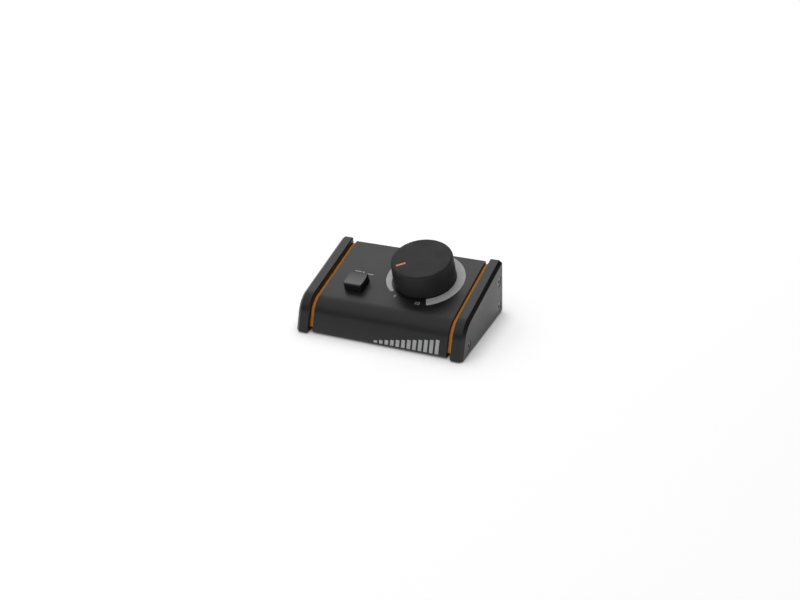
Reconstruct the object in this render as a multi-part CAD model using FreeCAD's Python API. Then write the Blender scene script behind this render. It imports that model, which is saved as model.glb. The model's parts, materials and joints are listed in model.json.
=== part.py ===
import FreeCAD, Part
import math
import os

# A small passive monitor controller for the desk: a bent steel cover over a steel tray, closed at
# each end by an orange spacer plate and a thick dark cheek, with one large volume knob and one
# push button on the sloping panel, and the sockets on the rear wall.
#
# Millimetres. X runs to the right, Y to the back and Z up. The origin lies on the desk under the
# middle of the object.
Vector = FreeCAD.Vector

# ---------------------------------------------------------------- driving dimensions
# Side outline of the cheeks
width = 110.0
depth = 68.7
back_height = 35.6
cheek_lift = 0.5
front_corner_height = 20.5
front_lean = 20.3
bend_radius = 16.3
cheek_corner_radius = 0.8

# Cheeks, spacers and body, from the outside inwards
cheek_thickness = 7.8
cheek_bevel_across = 2.05
cheek_bevel_down = 1.65
cheek_inner_bevel = 0.5
cheek_edge_break = 0.4
spacer_thickness = 2.9
spacer_inset = 3.4
spacer_rear_inset = 0.4
spacer_bottom_inset = 2.2
body_inset = 1.35
body_rear_inset = 0.2
body_bottom_inset = 0.1
sheet = 1.2
fold_radius = 1.6
lip_length = 6.4
lip_screw_setback = 4.0
rear_lip_length = 7.0
seam_gap = 0.15
strip_setback = 1.6
strip_width = 7.8
strip_end_gap = 5.0

# Feet, counted in from the ends, the front and the back of the body
foot_radius = 5.0
foot_side_setback = 10.0
foot_front_setback = 14.7
foot_rear_setback = 9.7

# Running and assembly clearances
loose = 0.2
snug = 0.05

# Cheek screws: countersunk, with a hexagon socket
cheek_screw_radius = 1.5
cheek_screw_length = 14.0
cheek_screw_head_radius = 3.0
cheek_screw_socket = 2.0
cheek_screw_socket_depth = 1.3
cheek_screw_recess = 0.25
cheek_screw_front_setback = 11.1
cheek_screw_low = 6.3
cheek_screw_top_drop = 12.2
press_nut_radius = 2.4
press_nut_height = 2.5
press_nut_gap = 1.1

# Cover screws: flush countersunk heads, sunk into the cover's sheet
cover_screw_radius = 1.25
cover_screw_land = 0.15
cover_screw_reach = 1.1
cover_screw_slot = 0.6
cover_screw_slot_depth = 0.7
lip_screw_side_setback = 14.0
rear_screw_side_setback = 7.0

# Volume control on the panel. Places on the panel are given as x and as the way up the slope
# from the corner line where the front face and the panel would meet.
knob_x = 14.0
knob_up = 36.2
knob_base_radius = 19.5
knob_top_radius = 19.0
knob_height = 15.5
knob_gap = 0.7
knob_edge_round = 1.3
knob_wall = 2.6
knob_roof = 2.4
knob_hub_radius = 7.2
knob_hub_gap = 5.0
insert_radius = 5.2
insert_height = 8.0
pointer_angle = -130.0
pointer_inner = 10.2
pointer_outer = 16.2
pointer_width = 1.5
pointer_depth = 0.7
pointer_proud = 0.05

shaft_radius = 3.0
shaft_height = 12.0
shaft_flat = 1.5
shaft_core_radius = 1.9
bush_radius = 3.5
bush_height = 4.6
pot_radius = 7.8
pot_wall = 1.1
pot_plate = 1.0
pot_depth = 8.8
pot_cap = 0.8
wafer_thickness = 0.8
wafer_depths = (3.2, 6.4)
rotor_thickness = 0.9
rotor_radius = 5.6
washer_thickness = 0.5
washer_radius = 6.0
pot_nut_across = 10.0
pot_nut_height = 2.0
terminal_pitch = 3.0
terminal_width = 1.0
terminal_thickness = 0.4
terminal_reaches = (5.2, 2.6)

# Mono button and its latching switch
button_x = -25.3
button_up = 20.9
button_width = 12.0
button_length = 12.0
button_height = 5.4
button_skirt = 2.0
button_gap = 0.3
button_wall = 1.2
button_round = 0.9
button_dish = 0.5
button_stem_width = 6.0
button_travel = 2.5
switch_width = 8.4
switch_wall = 1.0
switch_edge_round = 0.5
switch_pin_size = (0.6, 0.4)
switch_pin_pitch = 2.0
plunger_width = 3.0
plunger_flange = 5.2
plunger_flange_height = 0.8
plunger_grip = 3.0
spring_radius = 1.6
spring_wire = 0.3
spring_turns = 4

# Control board under the panel
control_board_drop = 8.0
board_thickness = 1.6
control_board_x = (-39.4, 25.0)
control_board_up = (10.3, 27.7)
pillar_places = ((-36.4, 13.5), (-4.0, 13.5), (21.5, 13.5))
pillar_across = 5.0
board_screw_radius = 1.25
board_screw_head_radius = 2.2
board_screw_head_height = 1.2
board_screw_length = 5.0
solder_tail = 1.0

# Main board on the tray floor
main_board_side_gap = 0.9
main_board_front_gap = 0.6
main_board_gap = 1.2
main_boss_radius = 3.0
main_boss_inset = 6.4
main_boss_setback = 4.0
main_boss_spacing = 20.5

# Quarter inch sockets
jack_xs = {"out_right": -31.5, "out_left": -14.5, "in_right": 14.5, "in_left": 31.5}
jack_bore_radius = 3.25
jack_wall = 2.0
jack_side_wall = 3.8
jack_block_length = 14.0
jack_tail_wall = 1.0
jack_tail_side_wall = 2.0
jack_tail_length = 10.2
jack_nose_wall = 2.0
jack_nut_ring = 1.7
jack_nut_thickness = 1.3
nose_reach = 1.4
contact_width = 1.8
contact_thickness = 0.4
contact_window = 2.4
contact_back_offs = (2.4, 8.6, 19.2)

# Small 3.5 mm socket
mini_x = 0.0
mini_bore_radius = 1.8
mini_wall = 2.7
mini_length = 12.0
mini_nose_wall = 1.2
mini_nut_ring = 1.4
mini_nut_thickness = 1.3
mini_window = 1.5
mini_contact_offs = (3.0, 8.0)

# Flat jumper cable and its connectors
jumper_x = 5.0
jumper_width = 7.6
jumper_thickness = 0.5
jumper_run = 2.0
connector_wall = 1.2
connector_length = 3.4
connector_height = 2.6

# Small parts on the main board
resistor_size = (3.2, 1.6, 0.6)
resistor_xs = (-18.0, -12.0, -6.0, 14.0, 20.0, 26.0)
resistor_setback = 12.2


# ---------------------------------------------------------------- the side outline
def unit(a, b):
    """Direction from a to b in the side view."""
    length = math.hypot(b[0] - a[0], b[1] - a[1])
    return ((b[0] - a[0]) / length, (b[1] - a[1]) / length)


def meet(p, u, q, v):
    """Point where the line through p along u crosses the line through q along v."""
    cross = u[0] * v[1] - u[1] * v[0]
    t = ((q[0] - p[0]) * v[1] - (q[1] - p[1]) * v[0]) / cross
    return (p[0] + u[0] * t, p[1] + u[1] * t)


def outline_corners(front=0.0, slope=0.0, back=0.0, bottom=0.0):
    """Four corners of the side outline, each line drawn in by its own inset: front foot, bend
    corner, back top, back foot. The front foot lies a little outside the depth, so that the cheek
    has its full depth after its corner is rounded."""
    lean = math.radians(front_lean)
    rounding = cheek_corner_radius * ((1 + math.sin(lean)) / math.cos(lean) - 1)
    foot = (-depth / 2 - rounding, cheek_lift)
    bend_y = foot[0] + (front_corner_height - cheek_lift) * math.tan(lean)
    bend = (bend_y, front_corner_height)
    top = (depth / 2, back_height)
    heel = (depth / 2, cheek_lift)
    corners = [foot, bend, top, heel]
    lines = []
    for i, inset in enumerate((front, slope, back, bottom)):
        a, b = corners[i], corners[(i + 1) % 4]
        u = unit(a, b)
        lines.append(((a[0] + u[1] * inset, a[1] - u[0] * inset), u))
    return [meet(*lines[i - 1], *lines[i]) for i in range(4)]


def outline_wire(x, corners, radii):
    """Closed wire at x through the corners, each rounded with its radius; nought leaves it sharp."""
    edges = []
    starts, ends = [], []
    for i, (p, r) in enumerate(zip(corners, radii)):
        before, after = unit(corners[i - 1], p), unit(p, corners[(i + 1) % len(corners)])
        turn = math.acos(before[0] * after[0] + before[1] * after[1])
        reach = r * math.tan(turn / 2)
        starts.append((p[0] - before[0] * reach, p[1] - before[1] * reach))
        ends.append((p[0] + after[0] * reach, p[1] + after[1] * reach))
    for i, (p, r) in enumerate(zip(corners, radii)):
        if r > 0:
            before = unit(corners[i - 1], p)
            centre = (starts[i][0] + before[1] * r, starts[i][1] - before[0] * r)
            out = unit(centre, p)
            middle = (centre[0] + out[0] * r, centre[1] + out[1] * r)
            edges.append(Part.Arc(*(Vector(x, *q) for q in (starts[i], middle, ends[i]))).toShape())
        j = (i + 1) % len(corners)
        edges.append(Part.LineSegment(Vector(x, *ends[i]), Vector(x, *starts[j])).toShape())
    return Part.Wire(edges)


def outline_radii(inset, corner):
    """Corner radii of an outline drawn in by an inset: the large bend stays concentric."""
    return (corner, bend_radius - inset, corner, corner)


def prism(x0, x1, corners, radii):
    """Solid between x0 and x1 with a rounded side outline."""
    return Part.Face(outline_wire(x0, corners, radii)).extrude(Vector(x1 - x0, 0, 0))


# ---------------------------------------------------------------- derived places
body_half = width / 2 - cheek_thickness - spacer_thickness
cheek_inner_x = width / 2 - cheek_thickness
body_insets = (body_inset, body_inset, body_rear_inset, body_bottom_inset)
body_corners = outline_corners(*body_insets)
lining_inset = body_inset + sheet
lining_insets = tuple(inset + sheet for inset in body_insets)
lining_corners = outline_corners(*lining_insets)
panel_corner = body_corners[1]
panel_direction = unit(body_corners[1], body_corners[2])
panel_tilt = math.degrees(math.atan2(panel_direction[1], panel_direction[0]))
body_bottom = cheek_lift + body_bottom_inset
floor_top = body_bottom + sheet
rear_face_y = depth / 2 - body_rear_inset
rear_wall_y = rear_face_y - sheet
rear_inner_y = rear_wall_y - sheet
nose_end_y = rear_wall_y + nose_reach
lip_end_y = lining_corners[0][0] + lip_length
lip_screw_y = lining_corners[0][0] + lip_screw_setback
panel_frame = FreeCAD.Placement(
    Vector(0, *panel_corner), FreeCAD.Rotation(Vector(1, 0, 0), panel_tilt)
)
board_top = -sheet - control_board_drop
cover_screw_sink = sheet - cover_screw_land
cover_screw_head_radius = cover_screw_radius + cover_screw_sink
spring_solid_height = spring_wire * (spring_turns + 1)
switch_height = (
    2 * switch_wall + plunger_flange_height + button_travel + spring_solid_height + loose
)

cheek_screw_rear_y = rear_inner_y - press_nut_radius - press_nut_gap
cheek_screw_places = (
    (cheek_screw_front_setback - depth / 2, cheek_screw_low),
    (cheek_screw_rear_y, cheek_screw_low),
    (cheek_screw_rear_y, back_height - cheek_screw_top_drop),
)
lip_screw_xs = (lip_screw_side_setback - body_half, 0.0, body_half - lip_screw_side_setback)
rear_screw_z = body_corners[2][1] - rear_lip_length / 2 - sheet / 2
rear_screw_xs = (rear_screw_side_setback - body_half, body_half - rear_screw_side_setback)
foot_x = body_half - foot_side_setback
foot_front_y = foot_front_setback - depth / 2
foot_rear_y = depth / 2 - foot_rear_setback

strip_front_y = lining_corners[0][0] + strip_setback
main_board_half_width = body_half - sheet - press_nut_height - main_board_side_gap
main_board_y = (strip_front_y + strip_width + main_board_front_gap, rear_inner_y)
main_board_bottom = floor_top + main_board_gap
main_board_top = main_board_bottom + board_thickness
main_boss_x = main_board_half_width - main_boss_inset
main_boss_y = main_board_y[0] + main_boss_setback
main_boss_places = [
    (side * main_boss_x, y) for y in (main_boss_y, main_boss_y + main_boss_spacing) for side in (-1, 1)
]

jack_z = main_board_top + jack_wall + jack_bore_radius
jack_width = 2 * (jack_bore_radius + jack_side_wall)
jack_top = jack_z + jack_bore_radius + jack_wall
jack_tail_width = 2 * (jack_bore_radius + jack_tail_side_wall)
jack_tail_top = jack_z + jack_bore_radius + jack_tail_wall
jack_nose_radius = jack_bore_radius + jack_nose_wall
jack_nut_radius = jack_nose_radius + jack_nut_ring
mini_width = 2 * (mini_bore_radius + mini_wall)
mini_top = jack_z + mini_bore_radius + mini_wall
mini_nose_radius = mini_bore_radius + mini_nose_wall
mini_nut_radius = mini_nose_radius + mini_nut_ring


def on_panel(shape):
    """Moves a shape drawn in x, way up the slope and height off the panel to its real place."""
    placed = shape.copy()
    placed.Placement = panel_frame.multiply(placed.Placement)
    return placed


def disc(x, y, z0, z1, radius):
    """Upright cylinder between two heights."""
    return Part.makeCylinder(radius, z1 - z0, Vector(x, y, z0))


def block(x, y, z, centre_x=0.0, centre_y=0.0):
    """Box of x by y, centred in plan, between the two heights in z."""
    return Part.makeBox(x, y, z[1] - z[0], Vector(centre_x - x / 2, centre_y - y / 2, z[0]))


def rod(x, z, y0, y1, radius):
    """Cylinder along Y between y0 and y1."""
    return Part.makeCylinder(radius, y1 - y0, Vector(x, y0, z), Vector(0, 1, 0))


def hexagon(x, y, z0, z1, across):
    """Upright hexagonal prism, given its width across flats."""
    corner = across / 2 / math.cos(math.radians(30))
    turns = [math.radians(60 * k) for k in range(7)]
    points = [Vector(x + corner * math.cos(t), y + corner * math.sin(t), z0) for t in turns]
    return Part.Face(Part.makePolygon(points)).extrude(Vector(0, 0, z1 - z0))


def fuse(shapes):
    """One clean solid from shapes that touch."""
    whole = shapes[0].multiFuse(list(shapes[1:])) if len(shapes) > 1 else shapes[0]
    return whole.removeSplitter()


def mirrored(shape):
    """The same piece for the left side."""
    return shape.mirror(Vector(0, 0, 0), Vector(1, 0, 0))


# ---------------------------------------------------------------- cheeks and spacers
def cheek_screw_cavity(y, z):
    """Countersunk clearance hole through cheek, spacer and tray wall."""
    face_x = width / 2
    seat = cheek_screw_head_radius + loose
    hole = cheek_screw_radius + loose
    cone_length = seat - hole
    shank = Part.makeCylinder(hole, cheek_thickness * 3, Vector(face_x, y, z), Vector(-1, 0, 0))
    cup = Part.makeCylinder(seat, cheek_screw_recess, Vector(face_x, y, z), Vector(-1, 0, 0))
    cone = Part.makeCone(
        seat, hole, cone_length, Vector(face_x - cheek_screw_recess, y, z), Vector(-1, 0, 0)
    )
    return fuse([cup, cone, shank])


def right_cheek():
    """Thick side plate: outside a broad bevel along front and slope and broken edges behind and
    below, inside a fine bevel all round."""
    share = 1 - cheek_edge_break / cheek_bevel_across
    sections = (
        (cheek_inner_x, cheek_inner_bevel, cheek_inner_bevel),
        (cheek_inner_x + cheek_inner_bevel, 0.0, 0.0),
        (width / 2 - cheek_bevel_across, 0.0, 0.0),
        (width / 2 - cheek_edge_break, cheek_bevel_down * share, 0.0),
        (width / 2, cheek_bevel_down, cheek_edge_break),
    )
    wires = []
    for x, inset, hidden_inset in sections:
        corner = max(cheek_corner_radius - hidden_inset, 0.3)
        corners = outline_corners(inset, inset, hidden_inset, hidden_inset)
        wires.append(outline_wire(x, corners, outline_radii(inset, corner)))
    cheek = Part.makeLoft(wires, True, True)
    for y, z in cheek_screw_places:
        cheek = cheek.cut(cheek_screw_cavity(y, z))
    return cheek


def right_spacer():
    """Orange plate between body and cheek, set back from both so that it lies in a groove."""
    corners = outline_corners(spacer_inset, spacer_inset, spacer_rear_inset, spacer_bottom_inset)
    plate = prism(body_half, cheek_inner_x, corners, outline_radii(spacer_inset, cheek_corner_radius))
    for y, z in cheek_screw_places:
        plate = plate.cut(
            Part.makeCylinder(
                cheek_screw_radius + loose, cheek_inner_x, Vector(0, y, z), Vector(1, 0, 0)
            )
        )
    return plate


def right_cheek_screws():
    """Three countersunk screws with hexagon sockets."""
    screws = []
    face_x = width / 2 - cheek_screw_recess
    inward = Vector(-1, 0, 0)
    cone_length = cheek_screw_head_radius - cheek_screw_radius
    for y, z in cheek_screw_places:
        head = Part.makeCone(
            cheek_screw_head_radius, cheek_screw_radius, cone_length, Vector(face_x, y, z), inward
        )
        shank = Part.makeCylinder(
            cheek_screw_radius,
            cheek_screw_length - cone_length,
            Vector(face_x - cone_length, y, z),
            inward,
        )
        socket = hexagon(0, 0, -cheek_screw_socket_depth, 1.0, cheek_screw_socket)
        socket.Placement = FreeCAD.Placement(
            Vector(face_x, y, z), FreeCAD.Rotation(Vector(0, 1, 0), 90)
        )
        screws.append(fuse([head, shank]).cut(socket))
    return Part.makeCompound(screws)


def right_press_nuts():
    """Threaded inserts on the inside of the tray wall, one behind each cheek screw."""
    nuts = []
    for y, z in cheek_screw_places:
        place = Vector(body_half - sheet, y, z)
        inward = Vector(-1, 0, 0)
        body = Part.makeCylinder(press_nut_radius, press_nut_height, place, inward)
        bore = Part.makeCylinder(cheek_screw_radius + snug, press_nut_height, place, inward)
        nuts.append(body.cut(bore))
    return Part.makeCompound(nuts)


# ---------------------------------------------------------------- cover and tray
def screw_seat(place, inward):
    """Countersunk hole for a flush cover screw, to cut from the sheet at its outer face."""
    cone = Part.makeCone(
        cover_screw_head_radius + snug, cover_screw_radius + snug, cover_screw_sink, place, inward
    )
    return fuse([cone, Part.makeCylinder(cover_screw_radius + snug, sheet, place, inward)])


def top_cover():
    """Bent sheet: front lip, front face, bend, sloping panel and rear lip, with its openings."""
    outer = prism(-body_half, body_half, body_corners, outline_radii(body_inset, fold_radius))
    inner = prism(
        -body_half, body_half, lining_corners, outline_radii(lining_inset, fold_radius - sheet)
    )
    cover = outer.cut(inner)
    rear_lip_bottom = body_corners[2][1] - rear_lip_length
    for y, top in ((lip_end_y, floor_top + fold_radius), (rear_wall_y, rear_lip_bottom)):
        cover = cover.cut(Part.makeBox(width, depth, top, Vector(-width / 2, y, 0)))
    knob_hole = disc(knob_x, knob_up, -sheet - 1, 1, bush_radius + loose / 2)
    button_hole = block(
        button_width + 2 * button_gap,
        button_length + 2 * button_gap,
        (-sheet - 1, 1),
        button_x,
        button_up,
    )
    upright = [e for e in button_hole.Edges if abs(e.tangentAt(e.FirstParameter).z) > 0.9]
    button_hole = button_hole.makeFillet(button_round + button_gap, upright)
    cover = cover.cut(on_panel(knob_hole)).cut(on_panel(button_hole))
    for x in lip_screw_xs:
        cover = cover.cut(screw_seat(Vector(x, lip_screw_y, body_bottom), Vector(0, 0, 1)))
    for x in rear_screw_xs:
        cover = cover.cut(screw_seat(Vector(x, rear_face_y, rear_screw_z), Vector(0, -1, 0)))
    return cover


def base_tray():
    """Folded tray: floor, rear wall and two end walls, which carry the cheeks and the sockets."""
    radii = outline_radii(lining_inset + seam_gap, fold_radius)
    under_cover = lining_inset + seam_gap
    corners = outline_corners(under_cover, under_cover, lining_insets[2], body_bottom_inset)
    outer = prism(-body_half, body_half, corners, radii)
    hollow = prism(
        sheet - body_half,
        body_half - sheet,
        outline_corners(-sheet, -sheet, lining_insets[2] + sheet, lining_insets[3]),
        (0, bend_radius, 0, fold_radius - sheet),
    )
    tray = outer.cut(hollow)
    lip_relief = Part.makeBox(
        width,
        depth,
        floor_top + seam_gap,
        Vector(-width / 2, lip_end_y + seam_gap - depth, 0),
    )
    tray = tray.cut(lip_relief)
    for y, z in cheek_screw_places:
        tray = tray.cut(
            Part.makeCylinder(
                cheek_screw_radius + loose, width, Vector(-width / 2, y, z), Vector(1, 0, 0)
            )
        )
    for x in jack_xs.values():
        tray = tray.cut(rod(x, jack_z, rear_inner_y, rear_wall_y, jack_nose_radius + loose))
    tray = tray.cut(rod(mini_x, jack_z, rear_inner_y, rear_wall_y, mini_nose_radius + loose))
    for x in rear_screw_xs:
        tray = tray.cut(rod(x, rear_screw_z, rear_inner_y, rear_wall_y, cover_screw_radius + snug))
    for x, y in main_boss_places:
        boss = disc(x, y, floor_top, main_board_bottom, main_boss_radius)
        tray = tray.fuse(boss).cut(
            disc(x, y, body_bottom, main_board_bottom, board_screw_radius + snug)
        )
    return tray.removeSplitter()


def joining_strip():
    """Flat strip welded to the tray floor; the cover's front lip is screwed to it from below."""
    half = body_half - sheet - strip_end_gap
    strip = Part.makeBox(2 * half, strip_width, sheet, Vector(-half, strip_front_y, floor_top))
    for x in lip_screw_xs:
        strip = strip.cut(disc(x, lip_screw_y, 0, back_height, cover_screw_radius + snug))
    return strip


def flush_screw():
    """Small screw with its flush countersunk head's face at the origin, shank upwards, and a
    cross slot."""
    head = Part.makeCone(cover_screw_head_radius, cover_screw_radius, cover_screw_sink)
    slot_span = (-cover_screw_slot_depth, cover_screw_slot_depth)
    shank = disc(0, 0, 0, 2 * sheet + cover_screw_reach, cover_screw_radius)
    screw = fuse([head, shank])
    for turn in (0, 90):
        slot = block(cover_screw_head_radius * 1.3, cover_screw_slot, slot_span)
        slot.rotate(Vector(0, 0, 0), Vector(0, 0, 1), turn)
        screw = screw.cut(slot)
    return screw


def lip_screws():
    """Three screws up through the front lip."""
    screws = []
    for x in lip_screw_xs:
        screw = flush_screw()
        screw.translate(Vector(x, lip_screw_y, body_bottom))
        screws.append(screw)
    return Part.makeCompound(screws)


def rear_lip_screws():
    """Two screws through the cover's rear lip into the rear wall."""
    screws = []
    for x in rear_screw_xs:
        screw = flush_screw()
        screw.rotate(Vector(0, 0, 0), Vector(1, 0, 0), 90)
        screw.translate(Vector(x, rear_face_y, rear_screw_z))
        screws.append(screw)
    return Part.makeCompound(screws)


def foot(side, y):
    """Round rubber foot under the tray floor, rounded where it meets the desk."""
    pad = disc(side * foot_x, y, 0, body_bottom, foot_radius)
    rim = [e for e in pad.Edges if e.BoundBox.ZMax < 0.01]
    return pad.makeFillet(body_bottom * 0.3, rim)


# ---------------------------------------------------------------- volume control
def volume_knob():
    """Tapered cap with a rounded top edge, hollow below round a central hub."""
    base, top = knob_gap, knob_gap + knob_height
    taper = (knob_base_radius - knob_top_radius) / knob_height
    roof = top - knob_roof
    inner_top = knob_base_radius - taper * (roof - base) - knob_wall
    rim = (knob_top_radius + taper * knob_edge_round, top - knob_edge_round)
    crown = (knob_top_radius - knob_edge_round, top)
    shoulder = (
        knob_top_radius - knob_edge_round * (1 - math.sin(math.radians(45))),
        top - knob_edge_round * (1 - math.cos(math.radians(45))),
    )
    path = [
        (0, top),
        crown,
        rim,
        (knob_base_radius, base),
        (knob_base_radius - knob_wall, base),
        (inner_top, roof),
        (knob_hub_radius, roof),
        (knob_hub_radius, knob_hub_gap),
        (insert_radius + snug, knob_hub_gap),
        (insert_radius + snug, knob_hub_gap + insert_height),
        (0, knob_hub_gap + insert_height),
        (0, top),
    ]
    edges = []
    for a, b in zip(path[:-1], path[1:]):
        if (a, b) == (crown, rim):
            edges.append(Part.Arc(*(Vector(r, 0, z) for r, z in (a, shoulder, b))).toShape())
        else:
            edges.append(Part.LineSegment(*(Vector(r, 0, z) for r, z in (a, b))).toShape())
    cap = Part.Face(Part.Wire(edges)).revolve(Vector(0, 0, 0), Vector(0, 0, 1), 360)
    cap.translate(Vector(knob_x, knob_up, 0))
    return on_panel(cap.cut(pointer_block(snug, 0.0)))


def pointer_block(growth, proud):
    """Rectangular bar in the knob's top, along the radius at the pointer's angle."""
    top = knob_gap + knob_height
    length = pointer_outer - pointer_inner + 2 * growth
    bar = Part.makeBox(
        pointer_width + 2 * growth,
        length,
        pointer_depth + proud + (1.0 if growth else 0.0),
        Vector(-pointer_width / 2 - growth, pointer_inner - growth, top - pointer_depth),
    )
    bar.rotate(Vector(0, 0, 0), Vector(0, 0, 1), -pointer_angle)
    bar.translate(Vector(knob_x, knob_up, 0))
    return bar


def knob_pointer():
    """Orange bar let into the knob's top."""
    return on_panel(pointer_block(0.0, pointer_proud))


def d_section(radius, flat, z0, z1):
    """Round bar with one flat on the side away from the pointer."""
    bar = disc(0, 0, z0, z1, radius)
    cut = Part.makeBox(
        4 * radius, radius, z1 - z0, Vector(-2 * radius, flat, z0)
    )
    bar = bar.cut(cut)
    bar.rotate(Vector(0, 0, 0), Vector(0, 0, 1), 180 - pointer_angle)
    bar.translate(Vector(knob_x, knob_up, 0))
    return bar


def knob_insert():
    """Brass sleeve in the knob's hub with a D-shaped bore."""
    sleeve = disc(knob_x, knob_up, knob_hub_gap, knob_hub_gap + insert_height, insert_radius)
    bore = d_section(
        shaft_radius + snug, shaft_flat + snug, knob_hub_gap, shaft_height + loose
    )
    return on_panel(sleeve.cut(bore))


def pot_shaft():
    """D-shaped control shaft; below the bush it steps down to the core that carries the rotors."""
    flat_start = bush_height + loose
    step = -sheet - pot_plate - loose
    tip = -sheet - pot_depth + pot_cap + loose
    upper = d_section(shaft_radius, shaft_flat, flat_start, shaft_height)
    middle = disc(knob_x, knob_up, step, flat_start, shaft_radius)
    core = disc(knob_x, knob_up, tip, step, shaft_core_radius)
    return on_panel(fuse([upper, middle, core]))


def pot_bush():
    """Threaded bush with its mounting plate, which lies against the panel from below."""
    nose = disc(knob_x, knob_up, -sheet, bush_height, bush_radius)
    plate = disc(knob_x, knob_up, -sheet - pot_plate, -sheet, pot_radius)
    bore = disc(knob_x, knob_up, -sheet - pot_plate, bush_height, shaft_radius + snug)
    return on_panel(fuse([nose, plate]).cut(bore))


def pot_washer():
    """Flat washer on the panel."""
    ring = disc(knob_x, knob_up, 0, washer_thickness, washer_radius)
    return on_panel(ring.cut(disc(knob_x, knob_up, 0, washer_thickness, bush_radius + loose / 2)))


def pot_nut():
    """Hexagonal nut that clamps the bush to the panel."""
    low, high = washer_thickness, washer_thickness + pot_nut_height
    nut = hexagon(knob_x, knob_up, low, high, pot_nut_across)
    return on_panel(nut.cut(disc(knob_x, knob_up, low, high, bush_radius + snug)))


def pot_housing():
    """Open-backed can of the potentiometer, slotted on the board side for the terminals."""
    top, bottom = -sheet - pot_plate, -sheet - pot_depth + pot_cap
    can = disc(knob_x, knob_up, bottom, top, pot_radius)
    can = can.cut(disc(knob_x, knob_up, bottom, top, pot_radius - pot_wall))
    for drop in wafer_depths:
        slot_top = -sheet - drop + loose
        slot = block(
            2 * terminal_pitch + terminal_width + 4 * loose,
            pot_radius,
            (slot_top - wafer_thickness - 2 * loose, slot_top),
            knob_x,
            knob_up - pot_radius,
        )
        can = can.cut(slot)
    return on_panel(can)


def pot_rear_cap():
    """Lid that closes the can at the bottom."""
    bottom = -sheet - pot_depth
    return on_panel(disc(knob_x, knob_up, bottom, bottom + pot_cap, pot_radius))


def pot_wafer(drop):
    """Resistive track plate, seated in the can."""
    top = -sheet - drop
    plate = disc(knob_x, knob_up, top - wafer_thickness, top, pot_radius - pot_wall - snug)
    hole = disc(knob_x, knob_up, top - wafer_thickness, top, shaft_core_radius + loose)
    return on_panel(plate.cut(hole))


def pot_rotors():
    """Two wiper carriers on the shaft's core, one over each track."""
    rotors = []
    for drop in wafer_depths:
        low = -sheet - drop + loose
        carrier = disc(knob_x, knob_up, low, low + rotor_thickness, rotor_radius)
        bore = disc(knob_x, knob_up, low, low + rotor_thickness, shaft_core_radius + snug / 2)
        rotors.append(on_panel(carrier.cut(bore)))
    return Part.makeCompound(rotors)


def pot_terminals():
    """Six flat pins from the two tracks, bent down into the control board."""
    pins = []
    for drop, reach in zip(wafer_depths, terminal_reaches):
        top = -sheet - drop - wafer_thickness / 2 + terminal_thickness / 2
        start = knob_up - pot_radius + pot_wall - loose
        end = knob_up - pot_radius - reach
        for k in (-1, 0, 1):
            x = knob_x + k * terminal_pitch
            flat = Part.makeBox(
                terminal_width, start - end, terminal_thickness,
                Vector(x - terminal_width / 2, end, top - terminal_thickness),
            )
            leg_bottom = board_top - board_thickness - solder_tail
            leg = Part.makeBox(
                terminal_width, terminal_thickness, top - leg_bottom,
                Vector(x - terminal_width / 2, end, leg_bottom),
            )
            pins.append(on_panel(fuse([flat, leg])))
    return Part.makeCompound(pins)


# ---------------------------------------------------------------- mono button and switch
def mono_button():
    """Square cap with rounded edges and a slightly dished top, and a socket for the plunger."""
    low, high = -button_skirt, button_height
    cap = block(button_width, button_length, (low, high), button_x, button_up)
    upright = [e for e in cap.Edges if abs(e.tangentAt(e.FirstParameter).z) > 0.9]
    cap = cap.makeFillet(button_round, upright)
    rim = [e for e in cap.Edges if e.BoundBox.ZMin > high - 0.01]
    cap = cap.makeFillet(button_round * 0.8, rim)
    chord = button_length / 2
    dish_radius = (chord**2 + button_dish**2) / (2 * button_dish)
    dish = Part.makeCylinder(
        dish_radius,
        button_width * 2,
        Vector(button_x - button_width, button_up, high + dish_radius - button_dish),
        Vector(1, 0, 0),
    )
    cap = cap.cut(dish)
    ceiling = high - button_dish - button_wall
    hollow = block(
        button_width - 2 * button_wall,
        button_length - 2 * button_wall,
        (low, ceiling),
        button_x,
        button_up,
    )
    cap = cap.cut(hollow)
    grip = (plunger_top() - plunger_grip, plunger_top())
    socket_width = plunger_width + 2 * snug
    stem = block(button_stem_width, button_stem_width, (grip[0], ceiling), button_x, button_up)
    socket = block(socket_width, socket_width, grip, button_x, button_up)
    return on_panel(fuse([cap, stem]).cut(socket))


def plunger_top():
    """Height of the plunger's head over the panel at rest."""
    return button_height - button_dish - button_wall - loose


def switch_body():
    """Square switch housing soldered to the control board, with a well for plunger and spring."""
    low, high = board_top, board_top + switch_height
    case = block(switch_width, switch_width, (low, high), button_x, button_up)
    upright = [e for e in case.Edges if abs(e.tangentAt(e.FirstParameter).z) > 0.9]
    case = case.makeFillet(switch_edge_round, upright)
    well_width = plunger_flange + 2 * loose
    well = block(well_width, well_width, (low + switch_wall, high - switch_wall), button_x, button_up)
    mouth_width = plunger_width + 2 * snug
    mouth = block(mouth_width, mouth_width, (high - switch_wall, high), button_x, button_up)
    return on_panel(case.cut(well).cut(mouth))


def switch_plunger():
    """Square stem with a flange that rests under the switch's roof."""
    roof = board_top + switch_height - switch_wall
    low = roof - plunger_flange_height
    stem = block(plunger_width, plunger_width, (low, plunger_top()), button_x, button_up)
    flange = block(plunger_flange, plunger_flange, (low, roof), button_x, button_up)
    return on_panel(fuse([stem, flange]))


def arc_between(a, direction, b):
    """Arc from a to b that leaves a along direction."""
    chord = b.sub(a)
    along = Vector(chord).normalize()
    side = direction.sub(Vector(along).multiply(direction.dot(along))).normalize()
    angle = math.acos(max(-1.0, min(1.0, direction.dot(along))))
    rise = chord.Length / 2 * math.tan(angle / 2)
    middle = a.add(Vector(chord).multiply(0.5)).add(side.multiply(rise))
    return Part.Arc(a, middle, b).toShape()


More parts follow.
